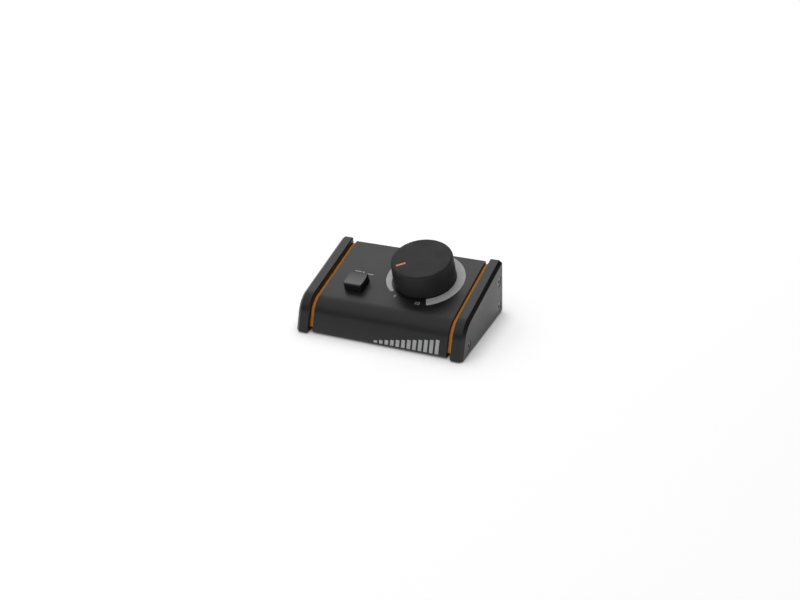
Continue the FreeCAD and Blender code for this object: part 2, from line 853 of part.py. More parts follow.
def switch_spring():
    """Coil spring under the plunger: one wire on paired arcs, a quarter turn at a time."""
    low = board_top + switch_wall + spring_wire / 2 + snug
    high = board_top + switch_height - switch_wall - plunger_flange_height - spring_wire / 2 - snug
    pitch = (high - low) / spring_turns
    steps = 4 * spring_turns

    def point(k):
        turn = k * math.pi / 2
        x, y = spring_radius * math.cos(turn), spring_radius * math.sin(turn)
        return Vector(x, y, low + pitch * k / 4)

    def tangent(k):
        turn = k * math.pi / 2
        x, y = -spring_radius * math.sin(turn), spring_radius * math.cos(turn)
        return Vector(x, y, pitch / (2 * math.pi)).normalize()

    edges = []
    for k in range(steps):
        a, b, leave, arrive = point(k), point(k + 1), tangent(k), tangent(k + 1)
        gap, both = b.sub(a), leave.add(arrive)
        spread = 2 * (1 - leave.dot(arrive))
        reach = (-gap.dot(both) + math.sqrt(gap.dot(both) ** 2 + spread * gap.dot(gap))) / spread
        near, far = a.add(Vector(leave).multiply(reach)), b.sub(Vector(arrive).multiply(reach))
        joint = near.add(far).multiply(0.5)
        edges.append(arc_between(a, leave, joint))
        onward = far.sub(near).normalize()
        edges.append(arc_between(joint, onward, b))
    path = Part.Wire(edges)
    ring = Part.Wire(Part.makeCircle(spring_wire / 2, point(0), tangent(0)))
    shell = Part.BRepOffsetAPI.MakePipeShell(path)
    shell.add(ring)
    shell.build()
    shell.makeSolid()
    coil = shell.shape()
    ideal = math.pi * (spring_wire / 2) ** 2 * path.Length
    print(f"switch spring: volume over section times length {coil.Volume / ideal:.4f}")
    print(f"switch spring: least gap between turns {pitch - spring_wire:.2f}")
    coil.translate(Vector(button_x, button_up, 0))
    return on_panel(coil)


def switch_pins():
    """Six pins from the switch through the control board."""
    span = (board_top - board_thickness - solder_tail, board_top)
    pins = [on_panel(block(*switch_pin_size, span, x, up)) for x, up in switch_pin_places()]
    return Part.makeCompound(pins)


def switch_pin_places():
    """Three pins on each side of the switch."""
    return [
        (button_x + column * switch_pin_pitch, button_up + side * switch_pin_pitch)
        for column in (-1, 0, 1)
        for side in (-1, 1)
    ]


# ---------------------------------------------------------------- control board
def control_board():
    """Circuit board under the panel, parallel to it."""
    (x0, x1), (up0, up1) = control_board_x, control_board_up
    low = board_top - board_thickness
    board = Part.makeBox(x1 - x0, up1 - up0, board_thickness, Vector(x0, up0, low))
    for x, up in pillar_places:
        board = board.cut(disc(x, up, low, board_top, board_screw_radius + loose))
    for x, up in switch_pin_places():
        wide, deep = (side + 2 * snug for side in switch_pin_size)
        board = board.cut(block(wide, deep, (low, board_top), x, up))
    wide, deep = terminal_width + 2 * snug, terminal_thickness + 2 * snug
    for reach in terminal_reaches:
        up = knob_up - pot_radius - reach + terminal_thickness / 2
        for k in (-1, 0, 1):
            hole = block(wide, deep, (low, board_top), knob_x + k * terminal_pitch, up)
            board = board.cut(hole)
    return on_panel(board)


def board_pillars():
    """Hexagonal pillars pressed into the cover, which carry the control board."""
    pillars = []
    for x, up in pillar_places:
        post = hexagon(x, up, board_top, -sheet, pillar_across)
        bore = disc(x, up, board_top, -sheet - 1.0, board_screw_radius + snug)
        pillars.append(on_panel(post.cut(bore)))
    return Part.makeCompound(pillars)


def pan_screw(shank_length):
    """Small board screw with its head on top at the origin, shank downwards."""
    head = disc(0, 0, 0, board_screw_head_height, board_screw_head_radius)
    rim = [e for e in head.Edges if e.BoundBox.ZMin > board_screw_head_height - 0.01]
    head = head.makeFillet(board_screw_head_height * 0.4, rim)
    return fuse([head, disc(0, 0, -shank_length, 0, board_screw_radius)])


def control_board_screws():
    """Screws up through the control board into the pillars."""
    screws = []
    for x, up in pillar_places:
        screw = pan_screw(board_screw_length)
        screw.rotate(Vector(0, 0, 0), Vector(1, 0, 0), 180)
        screw.translate(Vector(x, up, board_top - board_thickness))
        screws.append(on_panel(screw))
    return Part.makeCompound(screws)


# ---------------------------------------------------------------- main board
def main_board():
    """Circuit board on the tray floor, which carries the sockets."""
    y0, y1 = main_board_y
    board = Part.makeBox(
        2 * main_board_half_width, y1 - y0, board_thickness,
        Vector(-main_board_half_width, y0, main_board_bottom),
    )
    for x, y in main_boss_places:
        board = board.cut(disc(x, y, main_board_bottom, main_board_top, board_screw_radius + loose))
    for x, y in contact_leg_places():
        wide, deep = contact_thickness + 2 * snug, contact_width + 2 * snug
        board = board.cut(block(wide, deep, (main_board_bottom, main_board_top), x, y))
    return board


def main_board_screws():
    """Screws down through the main board into the bosses of the tray."""
    screws = []
    for x, y in main_boss_places:
        screw = pan_screw(board_thickness + main_board_gap + sheet - loose)
        screw.translate(Vector(x, y, main_board_top))
        screws.append(screw)
    return Part.makeCompound(screws)


def board_resistors():
    """Summing resistors on the main board."""
    x_size, y_size, z_size = resistor_size
    y, span = main_board_y[0] + resistor_setback, (main_board_top, main_board_top + z_size)
    return Part.makeCompound([block(x_size, y_size, span, x, y) for x in resistor_xs])


# ---------------------------------------------------------------- sockets
def jack_contact_ys():
    """Middle of each contact along the socket, from the rear wall inwards."""
    return [rear_inner_y - back_off for back_off in contact_back_offs]


def jack_half_width_at(y):
    """Half the socket's width where a contact stands: the block is wider than the tail."""
    return (jack_width if y > rear_inner_y - jack_block_length else jack_tail_width) / 2


def jack_top_at(y):
    """Height of the socket's top where a contact stands."""
    return jack_top if y > rear_inner_y - jack_block_length else jack_tail_top


def mini_contact_ys():
    """Middle of each contact along the small socket."""
    return [rear_inner_y - back_off for back_off in mini_contact_offs]


def contact_leg_places():
    """Where the contact legs of all sockets pass through the main board."""
    places = []
    for x in jack_xs.values():
        for y in jack_contact_ys():
            places.append((x + jack_half_width_at(y) + contact_thickness / 2, y))
    for y in mini_contact_ys():
        places.append((mini_x + mini_width / 2 + contact_thickness / 2, y))
    return places


def jack_body(x):
    """Quarter inch socket: block, narrower tail, threaded nose and a straight bore for the plug."""
    block_front = rear_inner_y - jack_block_length
    tail_front = block_front - jack_tail_length
    body = Part.makeBox(
        jack_width, jack_block_length, jack_top - main_board_top,
        Vector(x - jack_width / 2, block_front, main_board_top),
    )
    tail = Part.makeBox(
        jack_tail_width, jack_tail_length, jack_tail_top - main_board_top,
        Vector(x - jack_tail_width / 2, tail_front, main_board_top),
    )
    nose = rod(x, jack_z, rear_inner_y, nose_end_y, jack_nose_radius)
    whole = fuse([body, tail, nose]).cut(rod(x, jack_z, tail_front, nose_end_y, jack_bore_radius))
    for y in jack_contact_ys():
        top = jack_top_at(y)
        window = Part.makeBox(
            contact_window, contact_window, top - jack_z,
            Vector(x - contact_window / 2, y - contact_window / 2, jack_z),
        )
        whole = whole.cut(window)
    return whole


def bent_contact(x, y, half_width, top, bore_radius, window):
    """Spring contact: a tongue over the socket's top, a bump down its window and a leg beside it."""
    tongue_end = x - window / 2 + snug
    side = x + half_width
    tongue = Part.makeBox(
        side + contact_thickness - tongue_end, contact_width, contact_thickness,
        Vector(tongue_end, y - contact_width / 2, top),
    )
    bump_bottom = jack_z + bore_radius + snug
    bump = Part.makeBox(
        window - 2 * snug, contact_width, top - bump_bottom,
        Vector(tongue_end, y - contact_width / 2, bump_bottom),
    )
    leg_bottom = main_board_bottom - solder_tail
    leg = Part.makeBox(
        contact_thickness, contact_width, top - leg_bottom,
        Vector(side, y - contact_width / 2, leg_bottom),
    )
    return fuse([tongue, bump, leg])


def jack_contacts(x):
    """Sleeve, ring and tip contacts of one socket."""
    contacts = []
    for y in jack_contact_ys():
        half, top = jack_half_width_at(y), jack_top_at(y)
        contacts.append(bent_contact(x, y, half, top, jack_bore_radius, contact_window))
    return Part.makeCompound(contacts)


def jack_nuts():
    """Round nuts with two flats on the four threaded noses."""
    nuts = []
    low, high = rear_wall_y, rear_wall_y + jack_nut_thickness
    for x in jack_xs.values():
        nut = rod(x, jack_z, low, high, jack_nut_radius)
        rim = [e for e in nut.Edges if e.BoundBox.YMin > high - 0.01]
        nut = nut.makeFillet(jack_nut_thickness * 0.3, rim)
        nuts.append(nut.cut(rod(x, jack_z, low, high, jack_nose_radius + snug)))
    return Part.makeCompound(nuts)


def mini_jack_body():
    """Small stereo socket with a threaded nose."""
    front = rear_inner_y - mini_length
    body = Part.makeBox(
        mini_width, mini_length, mini_top - main_board_top,
        Vector(mini_x - mini_width / 2, front, main_board_top),
    )
    nose = rod(mini_x, jack_z, rear_inner_y, nose_end_y, mini_nose_radius)
    whole = fuse([body, nose]).cut(rod(mini_x, jack_z, front, nose_end_y, mini_bore_radius))
    for y in mini_contact_ys():
        window = Part.makeBox(
            mini_window, contact_window, mini_top - jack_z,
            Vector(mini_x - mini_window / 2, y - contact_window / 2, jack_z),
        )
        whole = whole.cut(window)
    return whole


def mini_jack_contacts():
    """Two spring contacts of the small socket."""
    return Part.makeCompound(
        [
            bent_contact(mini_x, y, mini_width / 2, mini_top, mini_bore_radius, mini_window)
            for y in mini_contact_ys()
        ]
    )


def mini_jack_nut():
    """Round nut on the small socket's nose."""
    low, high = rear_wall_y, rear_wall_y + mini_nut_thickness
    nut = rod(mini_x, jack_z, low, high, mini_nut_radius)
    return nut.cut(rod(mini_x, jack_z, low, high, mini_nose_radius + snug))


# ---------------------------------------------------------------- jumper cable
def upper_mouth():
    """Where the flat cable enters the connector under the control board, in the side view."""
    up = control_board_up[0] + loose
    drop = board_top - board_thickness - connector_height / 2
    c, s = panel_direction
    return (panel_corner[0] + up * c - drop * s, panel_corner[1] + up * s + drop * c)


def lower_mouth():
    """Where the flat cable enters the connector on the main board."""
    return (main_board_y[0] + loose + connector_length, main_board_top + connector_height / 2)


def connector(z0):
    """Connector shell with a slot for the flat cable, its mouth at the origin facing -Y."""
    shell = Part.makeBox(
        jumper_width + 2 * connector_wall, connector_length, connector_height,
        Vector(-jumper_width / 2 - connector_wall, 0, z0),
    )
    slot = Part.makeBox(
        jumper_width + 2 * snug, connector_length - connector_wall, jumper_thickness + 2 * snug,
        Vector(-jumper_width / 2 - snug, 0, z0 + connector_height / 2 - jumper_thickness / 2 - snug),
    )
    return shell.cut(slot)


def upper_connector():
    """Connector under the control board, mouth to the front."""
    shell = connector(board_top - board_thickness - connector_height)
    shell.translate(Vector(jumper_x, control_board_up[0] + loose, 0))
    return on_panel(shell)


def lower_connector():
    """Connector on the main board, mouth to the back."""
    shell = connector(main_board_top)
    shell.rotate(Vector(0, 0, 0), Vector(0, 0, 1), 180)
    shell.translate(Vector(jumper_x, lower_mouth()[0], 0))
    return shell


def jumper_cable():
    """Flat cable from one board to the other, with a rounded fold near each connector."""
    c, s = panel_direction
    inside = connector_length - connector_wall - loose
    top, low = upper_mouth(), lower_mouth()
    start = (top[0] + inside * c, top[1] + inside * s)
    finish = (low[0] - inside, low[1])
    first = (top[0] - jumper_run * c, top[1] - jumper_run * s)
    second = (low[0] + jumper_run, low[1])
    corners = [start, first, second, finish]
    half = jumper_thickness / 2
    left, right = [], []
    for i, p in enumerate(corners):
        before = unit(corners[i - 1], p) if i else unit(p, corners[1])
        after = unit(p, corners[i + 1]) if i < 3 else before
        for side, points in ((half, left), (-half, right)):
            a = (p[0] - before[1] * side, p[1] + before[0] * side)
            b = (p[0] - after[1] * side, p[1] + after[0] * side)
            points.append(a if before == after else meet(a, before, b, after))
    loop = left + right[::-1] + left[:1]
    ribbon = Part.Face(Part.makePolygon([Vector(jumper_x - jumper_width / 2, *q) for q in loop]))
    ribbon = ribbon.extrude(Vector(jumper_width, 0, 0))
    folds = []
    for edge in ribbon.Edges:
        y, z = edge.CenterOfMass.y, edge.CenterOfMass.z
        at_fold = any(math.hypot(y - p[0], z - p[1]) < 2 * half for p in (first, second))
        if at_fold and edge.BoundBox.XLength > jumper_width / 2:
            folds.append(edge)
    return ribbon.makeFillet(jumper_thickness * 0.8, folds)


# ---------------------------------------------------------------- all nodes
def nodes():
    """Every separate piece under the name of its node."""
    made = {
        "top_cover": top_cover(),
        "base_tray": base_tray(),
        "joining_strip": joining_strip(),
        "lip_screws": lip_screws(),
        "rear_lip_screws": rear_lip_screws(),
        "volume_knob": volume_knob(),
        "knob_pointer": knob_pointer(),
        "knob_insert": knob_insert(),
        "pot_shaft": pot_shaft(),
        "pot_rotors": pot_rotors(),
        "pot_bush": pot_bush(),
        "pot_washer": pot_washer(),
        "pot_nut": pot_nut(),
        "pot_housing": pot_housing(),
        "pot_rear_cap": pot_rear_cap(),
        "pot_track_upper": pot_wafer(wafer_depths[0]),
        "pot_track_lower": pot_wafer(wafer_depths[1]),
        "pot_terminals": pot_terminals(),
        "mono_button": mono_button(),
        "switch_body": switch_body(),
        "switch_plunger": switch_plunger(),
        "switch_spring": switch_spring(),
        "switch_pins": switch_pins(),
        "control_board": control_board(),
        "board_pillars": board_pillars(),
        "control_board_screws": control_board_screws(),
        "main_board": main_board(),
        "main_board_screws": main_board_screws(),
        "board_resistors": board_resistors(),
        "jack_nuts": jack_nuts(),
        "mini_jack_body": mini_jack_body(),
        "mini_jack_contacts": mini_jack_contacts(),
        "mini_jack_nut": mini_jack_nut(),
        "upper_connector": upper_connector(),
        "lower_connector": lower_connector(),
        "jumper_cable": jumper_cable(),
    }
    for name, x in jack_xs.items():
        made[f"jack_body_{name}"] = jack_body(x)
        made[f"jack_contacts_{name}"] = jack_contacts(x)
    for name, make in (
        ("cheek", right_cheek),
        ("spacer", right_spacer),
        ("cheek_screws", right_cheek_screws),
        ("press_nuts", right_press_nuts),
    ):
        right = make()
        made[f"right_{name}"] = right
        made[f"left_{name}"] = mirrored(right)
    for side, label in ((-1, "left"), (1, "right")):
        made[f"foot_front_{label}"] = foot(side, foot_front_y)
        made[f"foot_rear_{label}"] = foot(side, foot_rear_y)
    return made


os.makedirs("parts", exist_ok=True)
for node, shape in nodes().items():
    shape.exportStep(f"parts/{node}.step")
    solids = shape.Solids
    if not solids or not all(s.isValid() and s.Volume > 0 for s in solids):
        print("CHECK", node, len(solids), [s.isValid() for s in solids])
print("panel tilt", round(panel_tilt, 3), "panel corner", [round(v, 3) for v in panel_corner])
knob_place = panel_frame.multVec(Vector(knob_x, knob_up, 0))
button_place = panel_frame.multVec(Vector(button_x, button_up, 0))
print("knob axis point", [round(v, 3) for v in knob_place])
print("button point", [round(v, 3) for v in button_place])
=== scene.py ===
"""Looks of a small sloping monitor controller for the desk.

The frame brings every piece at its real size and place. This script rounds the edges of the
pieces that show, builds the cheeks, the knob, the feet and the printed marks as new surfaces,
gives every piece its finish, and sets up the floor, the light and the camera. Lengths are in
metres and angles in degrees.
"""

from __future__ import annotations

import json
import logging
import math
from dataclasses import dataclass
from enum import Enum

import bmesh
import bpy
import numpy as np
from mathutils import Matrix, Vector
from mathutils.geometry import delaunay_2d_cdt

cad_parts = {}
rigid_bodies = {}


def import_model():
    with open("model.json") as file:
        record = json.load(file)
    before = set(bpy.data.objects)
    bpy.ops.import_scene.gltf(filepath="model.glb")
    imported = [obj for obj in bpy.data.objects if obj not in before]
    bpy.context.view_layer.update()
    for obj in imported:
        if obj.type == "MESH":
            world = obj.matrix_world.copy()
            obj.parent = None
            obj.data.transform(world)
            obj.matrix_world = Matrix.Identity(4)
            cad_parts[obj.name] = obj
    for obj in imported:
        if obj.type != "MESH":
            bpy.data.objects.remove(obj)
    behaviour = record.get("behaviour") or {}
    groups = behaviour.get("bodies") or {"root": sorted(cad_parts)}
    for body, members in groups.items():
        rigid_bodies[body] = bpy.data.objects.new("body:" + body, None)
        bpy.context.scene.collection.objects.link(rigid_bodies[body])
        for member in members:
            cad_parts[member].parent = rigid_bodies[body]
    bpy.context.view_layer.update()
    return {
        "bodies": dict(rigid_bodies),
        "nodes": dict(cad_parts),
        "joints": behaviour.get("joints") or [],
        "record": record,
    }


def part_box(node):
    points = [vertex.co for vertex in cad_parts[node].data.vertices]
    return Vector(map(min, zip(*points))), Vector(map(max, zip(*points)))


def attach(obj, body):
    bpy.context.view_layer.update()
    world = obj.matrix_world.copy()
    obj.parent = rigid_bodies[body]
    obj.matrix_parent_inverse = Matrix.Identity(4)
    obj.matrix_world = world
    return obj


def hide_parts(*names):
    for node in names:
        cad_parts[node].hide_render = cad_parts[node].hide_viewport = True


LOG = logging.getLogger("monitor_controller")
MM = 0.001
FULL_TURN = 2 * math.pi
NEAR_AXIS = 1e-6
RIGHTWARD, UPWARD = (1.0, 0.0, 0.0), (0.0, 0.0, 1.0)
Colour = tuple[float, float, float]
Socket = bpy.types.NodeSocket


# Planes and outlines


@dataclass(frozen=True)
class Plane:
    """A flat face of the object, with its own right, up and outward directions."""

    origin: np.ndarray
    right: np.ndarray
    up: np.ndarray
    normal: np.ndarray

    @classmethod
    def facing(cls, origin: np.ndarray, normal: np.ndarray, right: np.ndarray) -> Plane:
        """Builds a plane from its outward normal and its rightward direction.

        Args:
            origin: a point on the plane.
            normal: the outward direction.
            right: the rightward direction, square to the normal.

        Returns:
            The plane, whose up is the normal crossed with right.
        """
        normal = np.asarray(normal, float) / np.linalg.norm(normal)
        right = np.asarray(right, float) / np.linalg.norm(right)
        return cls(np.asarray(origin, float), right, np.cross(normal, right), normal)

    def at(self, x: np.ndarray, y: np.ndarray, height: np.ndarray | float = 0.0) -> np.ndarray:
        """Points in space: origin + x * right + y * up + height * normal, for whole arrays.

        Args:
            x: distances to the right.
            y: distances up the plane.
            height: distances off the plane.

        Returns:
            An array with one more axis, of length 3.
        """
        x, y, height = np.broadcast_arrays(x, y, height)
        along = x[..., None] * self.right + y[..., None] * self.up
        return self.origin + along + height[..., None] * self.normal

    def matrix(self, x: float, y: float) -> Matrix:
        """The placement of something drawn flat in XY, with its origin at x, y on the plane."""
        place = np.eye(4)
        place[:3, 0], place[:3, 1], place[:3, 2] = self.right, self.up, self.normal
        place[:3, 3] = self.at(np.float64(x), np.float64(y))
        return Matrix(place.tolist())


def rounded_loop(corners: np.ndarray, radii: np.ndarray | float, steps: int) -> np.ndarray:
    """Closed outline with an arc at each corner.

    The arc at a corner is centre + radius * (cos t, sin t), where t runs from the normal of the
    side before the corner to the normal of the side after it.

    Args:
        corners: (n, 2) corner points in order.
        radii: one radius per corner, or one for all.
        steps: points on each arc.

    Returns:
        (n * steps, 2) points.
    """
    radii = np.broadcast_to(radii, len(corners))
    before = corners - np.roll(corners, 1, axis=0)
    after = np.roll(corners, -1, axis=0) - corners
    before /= np.linalg.norm(before, axis=1, keepdims=True)
    after /= np.linalg.norm(after, axis=1, keepdims=True)
    turn = np.arctan2(
        before[:, 0] * after[:, 1] - before[:, 1] * after[:, 0], (before * after).sum(1)
    )
    reach = radii * np.tan(np.abs(turn) / 2)
    side = np.sign(turn)[:, None]
    inward = np.stack([-before[:, 1], before[:, 0]], 1) * side
    centres = corners - before * reach[:, None] + inward * radii[:, None]
    start = np.arctan2(-inward[:, 1], -inward[:, 0])
    angles = start[:, None] + turn[:, None] * np.linspace(0, 1, steps)[None]
    arcs = centres[:, None] + radii[:, None, None] * np.stack([np.cos(angles), np.sin(angles)], -1)
    return arcs.reshape(-1, 2)


def rounded_path(points: np.ndarray, cut: float, steps: int) -> np.ndarray:
    """Open path whose inner corners are each cut by a small curve.

    Each curve is the quadratic Bezier from one cut point over the corner to the other.

    Args:
        points: (n, d) points in order.
        cut: how far before and after each corner its curve starts and ends.
        steps: points on each curve.

    Returns:
        The first point, the curves' points, and the last point.
    """
    corner = points[1:-1]
    before, after = points[:-2] - corner, points[2:] - corner
    start, stop = (
        corner + side / np.linalg.norm(side, axis=1, keepdims=True) * cut
        for side in (before, after)
    )
    t = np.linspace(0, 1, steps)[None, :, None]
    curve = (
        start[:, None] * (1 - t) ** 2 + corner[:, None] * 2 * t * (1 - t) + stop[:, None] * t**2
    )
    return np.vstack([points[:1], curve.reshape(-1, points.shape[1]), points[-1:]])


# Mesh pieces


class Skin:
    """Gathers surfaces worked out with numpy into one mesh."""

    def __init__(self, name: str) -> None:
        """Starts an empty skin for the piece of that name."""
        self.name = name
        self.points: list[np.ndarray] = []
        self.faces: list[list[int]] = []
        self.count = 0

    def _add(self, points: np.ndarray, faces: np.ndarray) -> None:
        """Stores points and faces whose numbers count from this surface's first point."""
        self.faces += (faces + self.count).tolist()
        self.points.append(points.reshape(-1, 3))
        self.count += len(self.points[-1])

    def grid(self, points: np.ndarray) -> Skin:
        """Adds a surface of two parameters: point (i, j) joins (i + 1, j) and (i, j + 1).

        The last column joins the first.

        Args:
            points: (n, m, 3) points.

        Returns:
            The skin itself.
        """
        rows, columns = points.shape[:2]
        number = np.arange(rows * columns).reshape(rows, columns)
        i, j = (axis.ravel() for axis in np.indices((rows - 1, columns)))
        after = (j + 1) % columns
        quads = np.stack(
            [number[i, j], number[i + 1, j], number[i + 1, after], number[i, after]], 1
        )
        self._add(points, quads)
        return self

    def cap(self, loop: np.ndarray, flip: bool = False) -> Skin:
        """Adds one flat face inside a closed loop of points."""
        self._add(loop, np.arange(len(loop))[None, ::-1 if flip else 1])
        return self

    def holed_cap(
        self, plane: Plane, loop: np.ndarray, holes: list[tuple[np.ndarray, float]], steps: int
    ) -> Skin:
        """Adds a flat face with round holes, as triangles between its loop and the holes' rims.

        Args:
            plane: where the flat face lies.
            loop: (n, 2) outline on the plane.
            holes: centre and radius of each hole.
            steps: points round each hole.

        Returns:
            The skin itself.
        """
        turn = np.arange(steps) * FULL_TURN / steps
        circle = np.stack([np.cos(turn), np.sin(turn)], 1)
        loops = [loop] + [centre + radius * circle for centre, radius in holes]
        flat = np.vstack(loops)
        ends = np.cumsum([0] + [len(one) for one in loops])
        edges = [
            (start + k, start + (k + 1) % (stop - start))
            for start, stop in zip(ends[:-1], ends[1:])
            for k in range(stop - start)
        ]
        corners, _, triangles, *_ = delaunay_2d_cdt([Vector(p) for p in flat], edges, [], 1, 1e-9)
        corners = np.array([tuple(p) for p in corners])
        triangles = np.array(triangles)
        middle = corners[triangles].mean(1)
        keep = np.ones(len(triangles), bool)
        for centre, radius in holes:
            keep &= np.linalg.norm(middle - centre, axis=1) > radius * 0.999
        triangles = triangles[keep]
        a, b, c = (corners[triangles[:, k]] for k in range(3))
        (bx, by), (cx, cy) = (b - a).T, (c - a).T
        turned = bx * cy < by * cx
        triangles[turned] = triangles[turned][:, ::-1]
        self._add(plane.at(corners[:, 0], corners[:, 1]), triangles)
        return self

    def make(self, crease: float = 35.0, weighted: bool = True) -> bpy.types.Object:
        """Makes the Blender object, merged, closed and shaded.

        Args:
            crease: edges sharper than this angle stay sharp.
            weighted: whether large faces keep their own flat shading beside small ones.

        Returns:
            The new object, at the origin.
        """
        mesh = bpy.data.meshes.new(self.name)
        mesh.from_pydata(np.vstack(self.points).tolist(), [], self.faces)
        return finish_mesh(mesh, self.name, crease, weighted)


def finish_mesh(
    mesh: bpy.types.Mesh, name: str, crease: float, weighted: bool = True
) -> bpy.types.Object:
    """Merges doubles, turns the faces outwards, sets the shading and links an object."""
    work = bmesh.new()
    work.from_mesh(mesh)
    bmesh.ops.remove_doubles(work, verts=work.verts, dist=1e-7)
    bmesh.ops.recalc_face_normals(work, faces=work.faces)
    work.to_mesh(mesh)
    work.free()
    mesh.shade_smooth()
    mesh.set_sharp_from_angle(angle=math.radians(crease))
    piece = bpy.data.objects.new(name, mesh)
    bpy.context.scene.collection.objects.link(piece)
    if weighted:
        normals = piece.modifiers.new("face_weights", "WEIGHTED_NORMAL")
        normals.keep_sharp = True
    return piece


def lathe(plane: Plane, profile: np.ndarray, steps: int) -> np.ndarray:
    """Surface of revolution about a plane's normal.

    Point (i, j) is origin + r_i * (cos t_j * right + sin t_j * up) + h_i * normal, with t_j
    spread evenly over one turn.

    Args:
        plane: its origin and normal are the axis.
        profile: (n, 2) radius and height.
        steps: points round the axis.

    Returns:
        (n, steps, 3) points, for a grid that wraps in its second parameter.
    """
    turn = np.arange(steps) * FULL_TURN / steps
    radius, height = profile[:, :1], profile[:, 1:]
    return plane.at(radius * np.cos(turn), radius * np.sin(turn), height)


def rounded_copy(node: str, frame: dict, width: float, crease: float = 32.0) -> bpy.types.Object:
    """Copy of a node's mesh with its flat faces joined up and its edges slightly rounded.

    Args:
        node: the node to copy.
        width: how far the rounding reaches from each edge.
        crease: edges sharper than this angle are rounded.

    Returns:
        The new piece.
    """
    mesh = frame["nodes"][node].data.copy()
    mesh.materials.clear()
    work = bmesh.new()
    work.from_mesh(mesh)
    bmesh.ops.remove_doubles(work, verts=work.verts, dist=2e-6)
    bmesh.ops.dissolve_limit(
        work, angle_limit=math.radians(0.6), verts=work.verts, edges=work.edges
    )
    work.to_mesh(mesh)
    work.free()
    if "custom_normal" in mesh.attributes:
        mesh.attributes.remove(mesh.attributes["custom_normal"])
    piece = finish_mesh(mesh, f"rounded_{node}", crease, weighted=False)
    bevel = piece.modifiers.new("edge_rounding", "BEVEL")
    bevel.width = width
    bevel.segments = 2
    bevel.limit_method = "ANGLE"
    bevel.angle_limit = math.radians(crease)
    bevel.harden_normals = True
    return piece


def flat_mark(
    name: str, plane: Plane, loops: list[np.ndarray], thickness: float
) -> bpy.types.Object:
    """Printed mark: each outline raised off the plane by the thickness of the ink.

    Args:
        name: the piece's name.
        plane: the face it is printed on.
        loops: (n, 2) outlines on the plane.
        thickness: how far the ink stands off the face.

    Returns:
        The new piece.
    """
    skin = Skin(name)
    for loop in loops:
        levels = np.array([[0.0], [thickness]])
        wall = plane.at(loop[None, :, 0], loop[None, :, 1], levels)
        skin.grid(wall)
        skin.cap(wall[1]).cap(wall[0], flip=True)
    return skin.make(weighted=False)


def numerals(
    name: str, plane: Plane, words: list[tuple[str, float, float]], size: float, thickness: float
) -> bpy.types.Object:
    """Printed plain numbers on a plane, as one mesh.

    Args:
        name: the piece's name.
        plane: the face they are printed on.
        words: each number with the place of its middle on the plane.
        size: height of a line of text.
        thickness: how far the ink stands off the face.

    Returns:
        The new piece.
    """
    joined = bmesh.new()
    for body, x, y in words:
        curve = bpy.data.curves.new(name, "FONT")
        curve.body, curve.size, curve.extrude = body, size, thickness / 2
        curve.align_x, curve.align_y = "CENTER", "CENTER"
        curve.resolution_u = 6
        holder = bpy.data.objects.new(name, curve)
        mesh = bpy.data.meshes.new_from_object(holder)
        mesh.transform(Matrix.Translation((0, 0, thickness / 2)))
        mesh.transform(plane.matrix(x, y))
        joined.from_mesh(mesh)
        bpy.data.objects.remove(holder)
        bpy.data.curves.remove(curve)
        bpy.data.meshes.remove(mesh)
    mesh = bpy.data.meshes.new(name)
    joined.to_mesh(mesh)
    joined.free()
    return finish_mesh(mesh, name, 30.0, weighted=False)


# Finishes


class Grain(Enum):
    """What the surface looks like from close by."""

    POWDER = "powder_grain"
    MOULDED = "moulded_grain"
    DRAWN = "drawn_lines"
    FLAT = "ink_grain"


class Graph:
    """Adds nodes to a node tree and links their sockets."""

    def __init__(self, tree: bpy.types.NodeTree) -> None:
        """Works on that tree."""
        self.tree = tree

    def node(self, kind: str, **settings: object) -> bpy.types.Node:
        """Adds a node and sets the given attributes."""
        made = self.tree.nodes.new(kind)
        for name, value in settings.items():
            setattr(made, name, value)
        return made

    def link(self, source: Socket, target: Socket) -> None:
        """Joins an output to an input."""
        self.tree.links.new(source, target)

    def noise(self, vector: Socket, scale: Socket, detail: float, rough: float) -> Socket:
        """Adds a noise texture and returns its Fac."""
        made = self.node("ShaderNodeTexNoise")
        self.link(vector, made.inputs["Vector"])
        self.link(scale, made.inputs["Scale"])
        made.inputs["Detail"].default_value = detail
        made.inputs["Roughness"].default_value = rough
        return made.outputs["Fac"]

    def grain(self, given: dict, size: str, detail: float, rough: float) -> Socket:
        """Noise on a group's Vector, with spots as large as its input of that name says."""
        scale = self.maths("DIVIDE", 1.0, given[size])
        return self.noise(given["Vector"], scale, detail, rough)

    def close(
        self, leave: bpy.types.Node, height: Socket, mottle: Socket, low: float, high: float
    ) -> bpy.types.NodeTree:
        """Ends a group with its height and with the mottle spread from low..high onto 0..1."""
        self.link(height, leave.inputs["Height"])
        self.link(self.spread(mottle, low, high, 0.0, 1.0), leave.inputs["Mottle"])
        return self.tree

    def maths(self, operation: str, first: object, second: object) -> Socket:
        """Adds a maths node on sockets or numbers, and returns its result."""
        made = self.node("ShaderNodeMath", operation=operation)
        for socket, value in zip(made.inputs, (first, second)):
            if isinstance(value, Socket):
                self.link(value, socket)
            else:
                socket.default_value = value
        return made.outputs[0]

    def spread(
        self, value: Socket, low: float, high: float, start: float, stop: float
    ) -> Socket:
        """Maps low..high onto start..stop, held at both ends."""
        made = self.node("ShaderNodeMapRange")
        self.link(value, made.inputs["Value"])
        ends = {"From Min": low, "From Max": high, "To Min": start, "To Max": stop}
        for name, number in ends.items():
            made.inputs[name].default_value = number
        return made.outputs["Result"]


